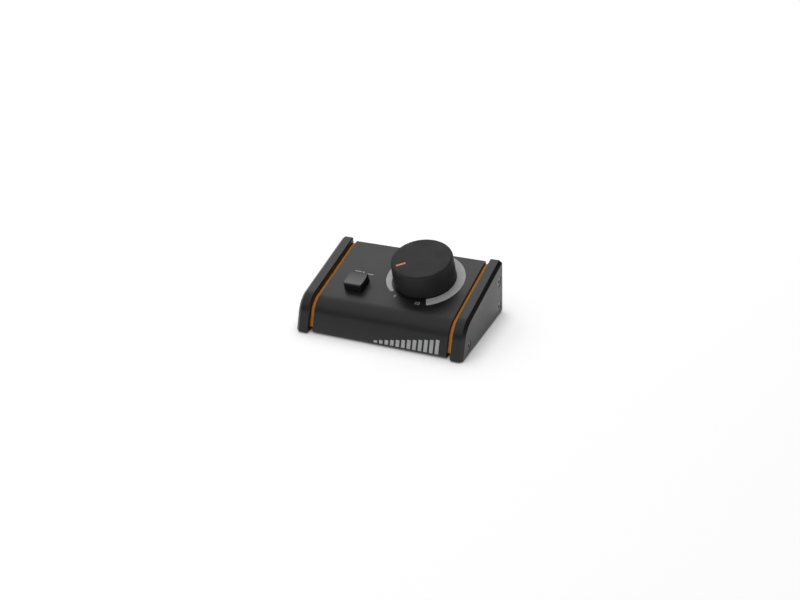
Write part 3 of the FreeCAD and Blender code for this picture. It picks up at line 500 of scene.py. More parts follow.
def start_group(name: str, inputs: dict[str, float]) -> tuple[Graph, dict, bpy.types.Node]:
    """Starts a node group with a Vector input, number inputs, and Height and Mottle outputs.

    Args:
        name: the group's name.
        inputs: each number input with its default.

    Returns:
        The graph to fill, the group's inputs by name, and its output node.
    """
    tree = bpy.data.node_groups.new(name, "ShaderNodeTree")
    tree.interface.new_socket("Vector", in_out="INPUT", socket_type="NodeSocketVector")
    for label, default in inputs.items():
        socket = tree.interface.new_socket(label, in_out="INPUT", socket_type="NodeSocketFloat")
        socket.default_value = default
    for label in ("Height", "Mottle"):
        tree.interface.new_socket(label, in_out="OUTPUT", socket_type="NodeSocketFloat")
    graph = Graph(tree)
    entry, leave = graph.node("NodeGroupInput"), graph.node("NodeGroupOutput")
    return graph, dict(entry.outputs.items()), leave


def build_powder() -> bpy.types.NodeTree:
    """Powder coat: close round grains over a slow orange peel, with faint cloudy patches."""
    graph, given, leave = start_group(Grain.POWDER.value, {"Grain": 0.0004, "Patch": 0.02})
    fine = graph.maths("DIVIDE", 1.0, given["Grain"])
    grains = graph.node("ShaderNodeTexVoronoi", feature="SMOOTH_F1")
    graph.link(given["Vector"], grains.inputs["Vector"])
    graph.link(fine, grains.inputs["Scale"])
    grains.inputs["Smoothness"].default_value = 0.6
    peel = graph.noise(given["Vector"], graph.maths("MULTIPLY", fine, 0.22), 2.0, 0.5)
    raised = graph.maths("SUBTRACT", 1.0, grains.outputs["Distance"])
    height = graph.maths("ADD", graph.maths("MULTIPLY", raised, 0.6), peel)
    clouds = graph.grain(given, "Patch", 4.0, 0.6)
    return graph.close(leave, height, clouds, 0.3, 0.7)


def build_moulded() -> bpy.types.NodeTree:
    """Moulded plastic or rubber: fine even grain with faint handling marks."""
    graph, given, leave = start_group(Grain.MOULDED.value, {"Grain": 0.00015, "Patch": 0.012})
    fine, smears = graph.grain(given, "Grain", 3.0, 0.6), graph.grain(given, "Patch", 5.0, 0.65)
    return graph.close(leave, fine, smears, 0.35, 0.7)


def build_drawn() -> bpy.types.NodeTree:
    """Drawn or turned metal: long thin lines along X, with dull spots from handling."""
    graph, given, leave = start_group(Grain.DRAWN.value, {"Grain": 0.0001, "Patch": 0.004})
    stretch = graph.node("ShaderNodeMapping")
    stretch.inputs["Scale"].default_value = (0.06, 1.0, 1.0)
    graph.link(given["Vector"], stretch.inputs["Vector"])
    scale = graph.maths("DIVIDE", 1.0, given["Grain"])
    lines = graph.noise(stretch.outputs["Vector"], scale, 2.0, 0.5)
    spots = graph.grain(given, "Patch", 4.0, 0.7)
    both = graph.maths("MULTIPLY", lines, spots)
    return graph.close(leave, lines, both, 0.15, 0.35)


def build_ink() -> bpy.types.NodeTree:
    """Screen-printed ink: thin, slightly uneven cover with the faint mesh of the screen."""
    graph, given, leave = start_group(Grain.FLAT.value, {"Grain": 0.0002, "Patch": 0.003})
    screen, cover = graph.grain(given, "Grain", 1.0, 0.4), graph.grain(given, "Patch", 3.0, 0.6)
    return graph.close(leave, screen, cover, 0.3, 0.7)


BUILDERS = {
    Grain.POWDER: build_powder,
    Grain.MOULDED: build_moulded,
    Grain.DRAWN: build_drawn,
    Grain.FLAT: build_ink,
}


@dataclass(frozen=True)
class Finish:
    """One surface finish: its colour, how it shines, and the grain that both follow."""

    name: str
    colour: Colour
    roughness: float
    grain: Grain
    grain_size: float
    patch_size: float = 0.015
    relief: float = 0.000004
    metallic: float = 0.0
    specular: float = 0.5
    tint: float = 0.10
    dulling: float = 0.06

    def material(self) -> bpy.types.Material:
        """Builds the node material once, and returns the same one from then on.

        The base colour runs between colour * (1 - tint) and colour * (1 + tint), and the
        roughness rises by dulling, both with the grain's mottle. The bump is the grain's
        height times relief.

        Returns:
            The material.
        """
        known = bpy.data.materials.get(self.name)
        if known:
            return known
        material = bpy.data.materials.new(self.name)
        material.use_nodes = True
        graph = Graph(material.node_tree)
        shader = material.node_tree.nodes["Principled BSDF"]
        group = bpy.data.node_groups.get(self.grain.value) or BUILDERS[self.grain]()
        texture = graph.node("ShaderNodeGroup", node_tree=group)
        place = graph.node("ShaderNodeTexCoord")
        graph.link(place.outputs["Object"], texture.inputs["Vector"])
        texture.inputs["Grain"].default_value = self.grain_size
        texture.inputs["Patch"].default_value = self.patch_size
        tone = graph.node("ShaderNodeMix", data_type="RGBA")
        graph.link(texture.outputs["Mottle"], tone.inputs["Factor"])
        for socket, share in ((tone.inputs["A"], 1 - self.tint), (tone.inputs["B"], 1 + self.tint)):
            socket.default_value = (*(min(1.0, part * share) for part in self.colour), 1.0)
        graph.link(tone.outputs["Result"], shader.inputs["Base Color"])
        rough = graph.spread(
            texture.outputs["Mottle"], 0.0, 1.0, self.roughness, self.roughness + self.dulling
        )
        graph.link(rough, shader.inputs["Roughness"])
        bump = graph.node("ShaderNodeBump")
        bump.inputs["Strength"].default_value = 1.0
        bump.inputs["Distance"].default_value = self.relief
        graph.link(texture.outputs["Height"], bump.inputs["Height"])
        graph.link(bump.outputs["Normal"], shader.inputs["Normal"])
        shader.inputs["Metallic"].default_value = self.metallic
        shader.inputs["Specular IOR Level"].default_value = self.specular
        return material


FINISHES = {
    "panel_paint": Finish(
        "panel_coat", (0.007, 0.007, 0.007), 0.38, Grain.POWDER, 0.00035, 0.03, 6e-6
    ),
    "cheek_paint": Finish(
        "cheek_coat", (0.006, 0.006, 0.0057), 0.34, Grain.POWDER, 0.0004, 0.03, 7e-6, tint=0.12
    ),
    "orange_paint": Finish(
        "orange_plate", (0.84, 0.31, 0.03), 0.38, Grain.POWDER, 0.0003, 0.02, 3e-6, tint=0.06
    ),
    "screw_black": Finish(
        "blackened_steel", (0.10, 0.095, 0.09), 0.26, Grain.DRAWN, 0.0002, 0.002, 2e-6,
        metallic=0.85, tint=0.25,
    ),
    "screw_zinc": Finish(
        "zinc_plate", (0.55, 0.55, 0.53), 0.28, Grain.DRAWN, 0.00015, 0.003, 1.5e-6, metallic=1.0
    ),
    "steel": Finish(
        "satin_steel", (0.56, 0.56, 0.56), 0.30, Grain.DRAWN, 0.0002, 0.004, 2e-6,
        metallic=1.0, tint=0.08,
    ),
    "brass": Finish(
        "satin_brass", (0.72, 0.50, 0.22), 0.28, Grain.DRAWN, 0.0002, 0.003, 1.5e-6, metallic=1.0
    ),
    "knob_black": Finish(
        "soft_touch_black", (0.007, 0.007, 0.0072), 0.53, Grain.MOULDED, 0.00018, 0.012,
        3e-6, specular=0.42, tint=0.12, dulling=0.10,
    ),
    "pointer_orange": Finish(
        "pointer_paint", (0.86, 0.26, 0.06), 0.35, Grain.FLAT, 0.0002, 0.003, 1e-6, tint=0.05
    ),
    "button_grey": Finish(
        "button_plastic", (0.008, 0.008, 0.008), 0.24, Grain.MOULDED, 0.00012, 0.006, 2e-6,
        specular=0.75,
    ),
    "black_plastic": Finish(
        "moulded_black", (0.018, 0.018, 0.018), 0.35, Grain.MOULDED, 0.0002, 0.006, 3e-6, tint=0.12
    ),
    "white_plastic": Finish(
        "moulded_white", (0.72, 0.69, 0.62), 0.40, Grain.MOULDED, 0.0002, 0.006, 2e-6, tint=0.04
    ),
    "rubber": Finish(
        "foot_rubber", (0.020, 0.020, 0.020), 0.70, Grain.MOULDED, 0.0003, 0.004, 1e-5, tint=0.2
    ),
    "board_green": Finish(
        "solder_mask", (0.010, 0.13, 0.05), 0.30, Grain.MOULDED, 0.0004, 0.008, 3e-6
    ),
    "phenolic": Finish(
        "phenolic_brown", (0.16, 0.07, 0.03), 0.45, Grain.MOULDED, 0.0003, 0.003, 4e-6, tint=0.2
    ),
    "tin": Finish(
        "tin_plate", (0.62, 0.61, 0.58), 0.26, Grain.DRAWN, 0.0002, 0.002, 2e-6, metallic=1.0
    ),
    "ribbon_grey": Finish(
        "ribbon_sheath", (0.32, 0.32, 0.34), 0.42, Grain.DRAWN, 0.0005, 0.004, 1e-5, tint=0.06
    ),
}
GREY_INK = Finish(
    "grey_ink", (0.57, 0.57, 0.57), 0.50, Grain.FLAT, 0.00025, 0.004, 1.5e-6, tint=0.08
)
LIGHT_INK = Finish("light_ink", (0.55, 0.55, 0.55), 0.50, Grain.FLAT, 0.00025, 0.003, 1.5e-6)


def dress(piece: bpy.types.Object, finish: Finish) -> None:
    """Puts one finish on every material slot of a piece."""
    if not piece.data.materials:
        piece.data.materials.append(None)
    for place in piece.material_slots:
        place.material = finish.material()


# Sub-assemblies


@dataclass
class Assembly:
    """What every sub-assembly shares: the loaded frame and the handing in of its pieces."""

    frame: dict

    def settle(
        self, piece: bpy.types.Object, body: str, slot: str, finish: Finish | None = None,
        stands_for: tuple[str, ...] = (),
    ) -> bpy.types.Object:
        """Dresses a new piece and says what it rides on and what it stands for.

        Args:
            piece: the new piece.
            body: the body it moves with.
            slot: the record's material slot.
            finish: its finish, or None for the slot's own.
            stands_for: the nodes it replaces.

        Returns:
            The piece.
        """
        dress(piece, finish or FINISHES[slot])
        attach(piece, body)
        if stands_for:
            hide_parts(*stands_for)
        LOG.info("%s rides on %s with %s", piece.name, body, slot)
        return piece

    def panel_plane(self) -> Plane:
        """The panel's face, with its origin where the knob's axis meets it."""
        joint = next(j for j in self.frame["joints"] if j["name"] == "volume_turn")
        return Plane.facing(joint["pos_m"], -np.array(joint["axis"]), RIGHTWARD)

    def slot_of(self, node: str) -> str:
        """The record's material slot of a node."""
        parts = self.frame["record"]["subparts"]
        return next(part["material_slot"] for part in parts if part["node"] == node)

    def body_of(self, node: str) -> str:
        """The body that holds a node."""
        bodies = self.frame["record"]["behaviour"]["bodies"]
        return next(body for body, nodes in bodies.items() if node in nodes)

    def round_edges(self, node: str, width: float) -> bpy.types.Object:
        """Replaces a node by a copy of itself with rounded edges."""
        piece = rounded_copy(node, self.frame, width)
        return self.settle(piece, self.body_of(node), self.slot_of(node), stands_for=(node,))


@dataclass
class Panel(Assembly):
    """The sloping panel and front face: the folded cover, and everything printed on it."""

    front_lean: float = 20.3
    fold_radius: float = 1.6 * MM
    edge: float = 0.12 * MM
    ink: float = 0.02 * MM
    ring_start: float = -136.0
    ring_stop: float = 156.0
    ring_inner: tuple[float, float] = (20.7 * MM, 19.3 * MM)
    ring_outer: tuple[float, float] = (22.5 * MM, 25.0 * MM)
    ring_growth: float = 11.0
    ring_end_round: float = 0.5 * MM
    ring_steps: int = 361
    number_size: float = 3.6 * MM
    number_radius: float = 23.0 * MM
    number_angles: tuple[float, float] = (-149.0, 170.0)
    bar_count: int = 12
    bar_width: float = 2.3 * MM
    bar_pitch: float = 3.6 * MM
    bar_heights: tuple[float, float] = (1.4 * MM, 8.6 * MM)
    bars_x: float = -2.6 * MM
    bars_rise: float = 1.9 * MM
    sign_x: float = -26.2 * MM
    sign_up: float = 31.9 * MM
    sign_dash: tuple[float, float] = (4.4 * MM, 0.62 * MM)
    sign_gap: float = 1.1 * MM
    sign_dashes_x: tuple[float, float] = (-6.0 * MM, 2.6 * MM)
    sign_tip: float = 1.2 * MM
    sign_arm: tuple[float, float] = (1.5 * MM, 1.45 * MM)
    sign_arm_width: float = 1.3
    sign_round: float = 0.248 * MM
    bar_round: float = 0.25 * MM
    mark_steps: int = 5

    def front(self) -> Plane:
        """The leaning front face, with its origin at its foot line in the middle.

        The cover's lowest Y is on the small fold at the foot, which lies behind the foot line by
        fold radius * ((1 + sin lean) / cos lean - 1).
        """
        low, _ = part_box("top_cover")
        lean = math.radians(self.front_lean)
        behind = self.fold_radius * ((1 + math.sin(lean)) / math.cos(lean) - 1)
        normal = (0.0, -math.cos(lean), math.sin(lean))
        return Plane.facing((0.0, low.y - behind, low.z), normal, RIGHTWARD)

    def ring(self) -> bpy.types.Object:
        """The wedge-shaped level ring round the knob.

        At share t of its sweep the inner radius falls evenly, and the outer radius is
        thin + (full - thin) * (1 - exp(-growth * t)). The section is carried along the sweep, and
        narrows at both ends as the edge of a circle does.
        """
        sweep = math.radians(self.ring_stop - self.ring_start)
        share = (1 - np.cos(np.linspace(0, math.pi, self.ring_steps))) / 2
        angle = math.radians(self.ring_start) + share * sweep
        inner = self.ring_inner[0] + (self.ring_inner[1] - self.ring_inner[0]) * share
        thin, full = self.ring_outer
        outer = thin + (full - thin) * (1 - np.exp(-self.ring_growth * share))
        length = sweep * (inner + outer) / 2
        from_end = np.minimum(share, 1 - share) * length
        short = np.clip(1 - from_end / self.ring_end_round, 0, 1)
        narrow = self.ring_end_round * (1 - np.sqrt(1 - short**2))
        inner, outer = inner + narrow, outer - narrow
        radius = np.stack([inner, inner, outer, outer], 1)
        height = np.array([0.0, self.ink, self.ink, 0.0])
        plane = self.panel_plane()
        points = plane.at(radius * np.sin(angle)[:, None], radius * np.cos(angle)[:, None], height)
        skin = Skin("level_ring").grid(points)
        skin.cap(points[0]).cap(points[-1], flip=True)
        return self.settle(skin.make(weighted=False), "root", "panel_paint", GREY_INK)

    def dial_numbers(self) -> bpy.types.Object:
        """Plain numbers at the two ends of the level ring."""
        words = []
        for word, angle in zip(("0", "10"), self.number_angles):
            turn = math.radians(angle)
            words.append(
                (word, self.number_radius * math.sin(turn), self.number_radius * math.cos(turn))
            )
        piece = numerals("dial_numbers", self.panel_plane(), words, self.number_size, self.ink)
        return self.settle(piece, "root", "panel_paint", LIGHT_INK)

    def level_bars(self) -> bpy.types.Object:
        """A row of rising bars on the front face: a plain sign for level."""
        left = self.bars_x + np.arange(self.bar_count) * self.bar_pitch
        height = np.linspace(*self.bar_heights, self.bar_count)
        loops = []
        for x, tall in zip(left, height):
            low, high = self.bars_rise, self.bars_rise + tall
            corners = [(x, low), (x + self.bar_width, low), (x + self.bar_width, high), (x, high)]
            loops.append(rounded_loop(np.array(corners), self.bar_round, self.mark_steps))
        piece = flat_mark("level_bars", self.front(), loops, self.ink)
        return self.settle(piece, "root", "panel_paint", LIGHT_INK)

    def merge_sign(self) -> bpy.types.Object:
        """Two dashes, a chevron and one dash: a plain sign for two channels made one."""
        plane = self.panel_plane()
        x, y = self.sign_x - plane.origin[0], self.sign_up - self.panel_offset()
        length, thick = self.sign_dash
        double, single = self.sign_dashes_x
        loops = []
        for left, level in ((double, self.sign_gap), (double, -self.sign_gap), (single, 0.0)):
            start, low = x + left, y + level - thick / 2
            stop, high = start + length, y + level + thick / 2
            corners = [(start, low), (stop, low), (stop, high), (start, high)]
            loops.append(rounded_loop(np.array(corners), self.sign_round, self.mark_steps))
        (reach, arm), wide = self.sign_arm, thick * self.sign_arm_width
        tip = x + self.sign_tip
        chevron = [
            (tip, y), (tip - reach, y + arm), (tip - reach - wide, y + arm),
            (tip - wide, y), (tip - reach - wide, y - arm), (tip - reach, y - arm),
        ]
        loops.append(np.array(chevron)[::-1])
        piece = flat_mark("merge_sign", plane, loops, self.ink)
        return self.settle(piece, "root", "panel_paint", LIGHT_INK)

    def panel_offset(self) -> float:
        """How far up the slope the knob's axis lies from the line where front and panel meet."""
        panel, front = self.panel_plane(), self.front()
        apart = panel.origin - front.origin
        return float(np.dot(apart, front.normal) / np.dot(panel.up, front.normal))

    def build(self) -> None:
        """Makes the cover and its printed marks."""
        self.round_edges("top_cover", self.edge)
        self.ring()
        self.dial_numbers()
        self.level_bars()
        self.merge_sign()


@dataclass
class Cheeks(Assembly):
    """The two thick end plates, their screws, and the orange plates beside them."""

    front_lean: float = 20.3
    front_corner: float = 20.5 * MM
    bend_radius: float = 16.3 * MM
    corner_radius: float = 0.8 * MM
    least_corner: float = 0.3 * MM
    bevel_across: float = 2.05 * MM
    bevel_down: float = 1.65 * MM
    inner_bevel: float = 0.5 * MM
    edge_break: float = 0.4 * MM
    edge: float = 0.22 * MM
    edge_steps: int = 5
    corner_steps: int = 24
    plate_edge: float = 0.12 * MM
    screw_edge: float = 0.07 * MM
    rim: float = 0.12 * MM
    rim_share: float = 0.3
    screw_seat: float = 3.2 * MM
    screw_hole: float = 1.7 * MM
    screw_recess: float = 0.25 * MM
    hole_steps: int = 48

    def outline(self, inset: float, hidden: float) -> np.ndarray:
        """Side outline drawn in by insets, as (n, 2) Y and Z.

        Each straight side moves inwards by its inset, and neighbouring sides meet again where
        their lines cross.

        Args:
            inset: how far the front and the slope move in.
            hidden: how far the back and the bottom move in.

        Returns:
            The rounded loop.
        """
        low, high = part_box("right_cheek")
        lean = math.radians(self.front_lean)
        ahead = self.corner_radius * ((1 + math.sin(lean)) / math.cos(lean) - 1)
        foot = np.array([low.y - ahead, low.z])
        rise = self.front_corner - low.z
        bend = foot + [rise * math.tan(lean), rise]
        top = np.array([high.y, high.z])
        for _ in range(20):
            slope = math.atan2(*(top - bend)[::-1])
            lost = self.corner_radius * ((1 + math.sin(slope)) / math.cos(slope) - 1)
            top[1] = high.z + lost
        corners = np.array([foot, bend, top, (high.y, low.z)])
        along = np.roll(corners, -1, axis=0) - corners
        along /= np.linalg.norm(along, axis=1, keepdims=True)
        insets = np.array([[inset], [inset], [hidden], [hidden]])
        moved = corners + insets * np.stack([along[:, 1], -along[:, 0]], 1)
        met = []
        for k in range(4):
            cross = along[k - 1, 0] * along[k, 1] - along[k - 1, 1] * along[k, 0]
            apart = moved[k] - moved[k - 1]
            t = (apart[0] * along[k, 1] - apart[1] * along[k, 0]) / cross
            met.append(moved[k - 1] + along[k - 1] * t)
        small = max(self.corner_radius - hidden, self.least_corner)
        radii = np.array([small, self.bend_radius - inset, small, small])
        return rounded_loop(np.array(met), radii, self.corner_steps)

    def screw_places(self) -> list[np.ndarray]:
        """Y and Z of the three screws, read from the screws themselves."""
        mesh = self.frame["nodes"]["right_cheek_screws"].data
        spots = np.empty(len(mesh.vertices) * 3)
        mesh.vertices.foreach_get("co", spots)
        spots = spots.reshape(-1, 3)[:, 1:]
        middle = (spots.min(0) + spots.max(0)) / 2
        back, top = spots[:, 0] > middle[0], spots[:, 1] > middle[1]
        groups = (spots[~back], spots[back & ~top], spots[back & top])
        return [(group.min(0) + group.max(0)) / 2 for group in groups]

    def cheek(self, side: str) -> bpy.types.Object:
        """One end plate: the outline carried across its thickness with changing insets."""
        low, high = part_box("right_cheek")
        share = 1 - self.edge_break / self.bevel_across
        beyond = 3 * self.edge
        stations = [
            (low.x, self.inner_bevel + beyond, self.inner_bevel + beyond),
            (low.x, self.inner_bevel, self.inner_bevel),
            (low.x + self.inner_bevel, 0.0, 0.0),
            (high.x - self.bevel_across, 0.0, 0.0),
            (high.x - self.edge_break, self.bevel_down * share, 0.0),
            (high.x, self.bevel_down, self.edge_break),
            (high.x, self.bevel_down + beyond, self.edge_break + beyond),
        ]
        section = rounded_path(np.array(stations), self.edge, self.edge_steps)
        loops = np.stack([self.outline(inset, hidden) for _, inset, hidden in section])
        x = np.broadcast_to(section[:, :1], loops.shape[:2])
        points = np.stack([x, loops[..., 0], loops[..., 1]], -1)
        skin = Skin(f"{side}_end_cheek").grid(points)
        places = self.screw_places()
        outward, rearward = np.array(RIGHTWARD), np.array([0.0, 1.0, 0.0])
        outer, inner = (
            Plane(np.array([x, 0, 0]), rearward, np.array(UPWARD), outward)
            for x in (high.x, low.x)
        )
        rims = [(place, self.screw_seat + self.rim) for place in places]
        holes = [(place, self.screw_hole) for place in places]
        skin.holed_cap(outer, loops[-1], rims, self.hole_steps)
        skin.holed_cap(inner, loops[0], holes, self.hole_steps)
        thickness = high.x - low.x
        cone = self.screw_recess + self.screw_seat - self.screw_hole
        rounding = self.rim * self.rim_share
        profile = [
            (self.screw_seat + self.rim, 0.0),
            (self.screw_seat + rounding, -rounding),
            (self.screw_seat, -self.rim),
            (self.screw_seat, -self.screw_recess),
            (self.screw_hole, -cone),
            (self.screw_hole, -thickness),
        ]
        for place in places:
            centre = Plane(np.array([high.x, *place]), rearward, outer.up, outward)
            skin.grid(lathe(centre, np.array(profile), self.hole_steps))
        if side == "left":
            skin.points = [points * [-1, 1, 1] for points in skin.points]
        piece = skin.make(crease=40.0)
        return self.settle(piece, "root", "cheek_paint", stands_for=(f"{side}_cheek",))

    def build(self) -> None:
        """Makes both cheeks, their screws and the orange plates."""
        for side in ("left", "right"):
            self.cheek(side)
            self.round_edges(f"{side}_spacer", self.plate_edge)
            self.round_edges(f"{side}_cheek_screws", self.screw_edge)


@dataclass
class Knob(Assembly):
    """The volume knob and its inlaid pointer."""

    gap: float = 0.7 * MM
    height: float = 15.5 * MM
    base_radius: float = 19.5 * MM
    top_radius: float = 19.0 * MM
    top_round: float = 1.5 * MM
    foot_round: float = 0.35 * MM
    least_round: float = 0.1 * MM
    round_steps: int = 12
    wall: float = 2.6 * MM
    draft: float = 0.6 * MM
    roof: float = 2.4 * MM
    roof_rings: tuple[float, ...] = (NEAR_AXIS, 4 * MM, 10 * MM, 15 * MM)
    pointer_edge: float = 0.04 * MM
    hub_radius: float = 7.2 * MM
    hub_gap: float = 5.0 * MM
    hub_bore: float = 5.25 * MM
    hub_depth: float = 8.0 * MM
    steps: int = 192

    def profile(self) -> np.ndarray:
        """Radius and height from the middle of the top, over the rim and skirt, into the hub."""
        top = self.gap + self.height
        under = top - self.roof
        inner = self.base_radius - self.wall
        outside = [
            (0.0, top), (self.top_radius, top), (self.base_radius, self.gap),
            (inner, self.gap), (inner - self.draft, under),
        ]
        rounds = (self.least_round, self.top_round, *(self.foot_round,) * 2, self.least_round)
        closed = rounded_loop(np.array(outside), np.array(rounds), self.round_steps)
        arcs = closed.reshape(len(outside), self.round_steps, 2)
        deep = self.hub_gap + self.hub_depth
        inside = [
            (inner - self.draft, under),
            (self.hub_radius, under),
            (self.hub_radius, self.hub_gap),
            (self.hub_bore, self.hub_gap),
            (self.hub_bore, deep),
            (NEAR_AXIS, deep),
        ]
        middle = [(radius, top) for radius in self.roof_rings]
        return np.vstack([middle, arcs[1], arcs[2], arcs[3], inside])

    def build(self) -> None:
        """Makes the turned knob and its pointer."""
        turned = lathe(self.panel_plane(), self.profile(), self.steps)
        skin = Skin("turned_knob").grid(turned)
        self.settle(skin.make(crease=40.0), "knob", "knob_black", stands_for=("volume_knob",))
        self.round_edges("knob_pointer", self.pointer_edge)


@dataclass
class Feet(Assembly):
    """Four round rubber feet with a shallow ring moulded into each face."""

    edge: float = 0.6 * MM
    edge_steps: int = 8
    ring: tuple[float, float] = (2.4 * MM, 3.2 * MM)
    ring_depth: float = 0.35 * MM
    ring_slant: float = 0.15 * MM
    steps: int = 64

    def build(self) -> None:
        """Makes each foot from its own node's box."""
        for row in ("front", "rear"):
            for side in ("left", "right"):
                node = f"foot_{row}_{side}"
                low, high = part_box(node)
                radius = (high.x - low.x) / 2
                centre = ((low.x + high.x) / 2, (low.y + high.y) / 2, low.z)
                axis = Plane.facing(centre, UPWARD, RIGHTWARD)
                tall = high.z - low.z
                turn = np.linspace(-math.pi / 2, 0, self.edge_steps)
                rim = self.edge * np.stack([np.cos(turn), np.sin(turn)], 1)
                rim += (radius - self.edge, self.edge)
                inner, outer = self.ring
                profile = [
                    (NEAR_AXIS, tall), (radius, tall), *rim[::-1],
                    (outer, 0.0), (outer - self.ring_slant, self.ring_depth),
                    (inner + self.ring_slant, self.ring_depth), (inner, 0.0), (NEAR_AXIS, 0.0),
                ]
                skin = Skin(f"{row}_{side}_rubber_foot")
                skin.grid(lathe(axis, np.array(profile), self.steps))
                self.settle(skin.make(crease=40.0), "root", "rubber", stands_for=(node,))


@dataclass
class Rear(Assembly):
    """The tray and the sockets on its rear wall, with a plain number over each socket."""

    edge: float = 0.1 * MM
    small_edge: float = 0.06 * MM
    ink: float = 0.02 * MM
    number_size: float = 3.0 * MM
    number_rise: float = 20.9 * MM

    def build(self) -> None:
        """Rounds the edges of what shows at the back and below, and prints the numbers."""
        self.round_edges("base_tray", self.edge)
        nodes = sorted(self.frame["nodes"])
        sockets = [node for node in nodes if node.startswith("jack_body")] + ["mini_jack_body"]
        screws = ["lip_screws", "rear_lip_screws"]
        for node in sockets + ["jack_nuts", "mini_jack_nut"] + screws + ["mono_button"]:
            self.round_edges(node, self.small_edge)
        middles = sorted((sum(corner.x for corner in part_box(node)) / 2 for node in sockets))[::-1]
        _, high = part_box("base_tray")
        wall = Plane.facing((0.0, high.y, 0.0), (0.0, 1.0, 0.0), (-1.0, 0.0, 0.0))
        words = [(str(k + 1), -x, self.number_rise) for k, x in enumerate(middles)]
        piece = numerals("socket_numbers", wall, words, self.number_size, self.ink)
        self.settle(piece, "root", "panel_paint", LIGHT_INK)


@dataclass
class Insides(Assembly):
    """Everything that keeps its own shape: each such node gets its slot's finish."""

    def build(self) -> None:
        """Dresses every node that nothing has replaced."""
        kept = [name for name, node in self.frame["nodes"].items() if not node.hide_render]
        for name in kept:
            dress(self.frame["nodes"][name], FINISHES[self.slot_of(name)])
        LOG.info("%d nodes keep their own shape", len(kept))


# Stage, light and camera


@dataclass(frozen=True)
class Lamp:
    """A soft rectangular lamp that faces a point."""

    name: str
    place: tuple[float, float, float]
    aim: tuple[float, float, float]
    size: tuple[float, float]
    power: float

    def build(self) -> None:
        """Makes the lamp."""
        light = bpy.data.lights.new(self.name, "AREA")
        light.shape, light.energy = "RECTANGLE", self.power
        light.size, light.size_y = self.size
        lamp = bpy.data.objects.new(self.name, light)
        bpy.context.scene.collection.objects.link(lamp)
        lamp.location = self.place
        toward = Vector(self.aim) - Vector(self.place)
        lamp.rotation_euler = toward.to_track_quat("-Z", "Y").to_euler()


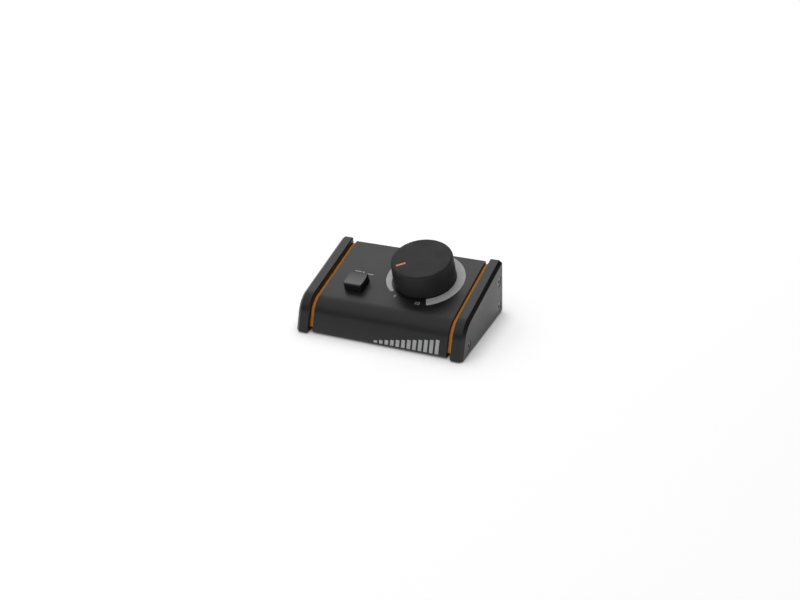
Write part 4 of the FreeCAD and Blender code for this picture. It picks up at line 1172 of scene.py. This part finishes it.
@dataclass(frozen=True)
class Studio:
    """White floor and sweep under a dim ceiling, with wide softboxes above, behind and in front."""

    floor_size: float = 4.0
    floor_colour: float = 0.86
    floor_lift: float = 0.50
    # reach of the painted contact shadow, which dims the floor's glow close to the object
    painted_shadow_reach: float = 0.012
    sweep: float = 1.0
    ceiling: float = 0.03
    sweep_top: float = 8.0
    ceiling_foot: float = 20.0
    lamps: tuple[Lamp, ...] = (
        Lamp("rear_softbox", (-0.75, 1.15, 1.20), (-0.75, 1.15, 0.0), (2.0, 1.7), 17.5),
        Lamp("front_softbox", (-0.35, -0.70, 1.20), (-0.35, -0.70, 0.0), (2.2, 1.7), 9.5),
    )

    @staticmethod
    def background_rays(graph: Graph) -> Socket:
        """1 where the camera sees the background directly or through gloss or glass, else 0."""
        path = graph.node("ShaderNodeLightPath")
        seen = graph.maths("MAXIMUM", path.outputs["Is Camera Ray"], path.outputs["Is Glossy Ray"])
        return graph.maths("MAXIMUM", seen, path.outputs["Is Transmission Ray"])

    def floor(self) -> None:
        """A wide white floor that keeps the lamps' real shadow of the object. Its even glow is
        dimmed near the object into a painted contact shadow.
        """
        half = self.floor_size / 2
        corner = np.array([(-half, -half), (half, -half), (half, half), (-half, half)])
        points = np.column_stack([corner, np.zeros(4)])
        floor = Skin("floor").cap(points).make(weighted=False)
        material = bpy.data.materials.new("white_floor")
        material.use_nodes = True
        graph = Graph(material.node_tree)
        shader = material.node_tree.nodes["Principled BSDF"]
        shader.inputs["Base Color"].default_value = (*(self.floor_colour,) * 3, 1.0)
        shader.inputs["Roughness"].default_value = 0.9
        shader.inputs["Specular IOR Level"].default_value = 0.0
        shader.inputs["Emission Color"].default_value = (1.0, 1.0, 1.0, 1.0)
        # painted contact shadow: ambient occlusion dims the floor's glow where the object is close
        painted_contact_shadow = graph.node("ShaderNodeAmbientOcclusion", samples=16)
        painted_contact_shadow.inputs["Distance"].default_value = self.painted_shadow_reach
        lift = graph.maths("MULTIPLY", self.background_rays(graph), self.floor_lift)
        lift = graph.maths("MULTIPLY", lift, painted_contact_shadow.outputs["AO"])
        graph.link(lift, shader.inputs["Emission Strength"])
        floor.data.materials.append(material)

    def world(self) -> None:
        """A white sweep round the horizon that fades into a dim ceiling.

        The strength runs from the sweep's to the ceiling's with the sine of the elevation, which
        is the Z of the direction looked in.
        """
        world = bpy.data.worlds.new("studio")
        bpy.context.scene.world = world
        world.use_nodes = True
        graph = Graph(world.node_tree)
        shade = world.node_tree.nodes["Background"]
        shade.inputs["Color"].default_value = (1.0, 1.0, 1.0, 1.0)
        look = graph.node("ShaderNodeTexCoord")
        split = graph.node("ShaderNodeSeparateXYZ")
        graph.link(look.outputs["Generated"], split.inputs[0])
        low, high = (math.sin(math.radians(angle)) for angle in (self.sweep_top, self.ceiling_foot))
        fade = graph.spread(split.outputs["Z"], low, high, self.sweep, self.ceiling)
        graph.link(fade, shade.inputs["Strength"])

    def build(self) -> None:
        """Makes the floor, the world and the lamps."""
        self.floor()
        self.world()
        for lamp in self.lamps:
            lamp.build()
        bpy.context.scene.view_settings.view_transform = "Standard"


@dataclass(frozen=True)
class View:
    """The photograph's camera: where it stands, how far its lens reaches, and its small roll."""

    azimuth: float = 26.03
    elevation: float = 28.096
    roll: float = -2.952
    distance: float = 686.85 * MM
    target: tuple[float, float, float] = (0.0, -0.025 * MM, 14.964 * MM)
    lens: float = 50.205
    sensor: float = 36.0
    shift: tuple[float, float] = (0.00110, 0.00019)

    def build(self) -> None:
        """Makes the camera and sets it as the scene's own."""
        turn, lift, roll = (math.radians(a) for a in (self.azimuth, self.elevation, self.roll))
        back = np.array(
            [math.sin(turn) * math.cos(lift), -math.cos(turn) * math.cos(lift), math.sin(lift)]
        )
        right = np.array([math.cos(turn), math.sin(turn), 0.0])
        up = np.cross(back, right)
        tilted = right * math.cos(roll) + up * math.sin(roll)
        upright = up * math.cos(roll) - right * math.sin(roll)
        place = np.array(self.target) + back * self.distance
        data = bpy.data.cameras.new("view")
        data.lens, data.sensor_width = self.lens, self.sensor
        data.shift_x, data.shift_y = self.shift
        data.clip_start = 0.01
        camera = bpy.data.objects.new("view", data)
        bpy.context.scene.collection.objects.link(camera)
        camera.matrix_world = Plane(place, tilted, upright, back).matrix(0.0, 0.0)
        bpy.context.scene.camera = camera


def main() -> None:
    """Loads the frame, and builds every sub-assembly."""
    logging.basicConfig(level=logging.INFO, format="%(name)s: %(message)s")
    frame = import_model()
    View().build()
    for assembly in (Panel, Cheeks, Knob, Feet, Rear, Insides):
        assembly(frame).build()
        LOG.info("built %s", assembly.__name__)
    Studio().build()


if __name__ == "__main__":
    main()
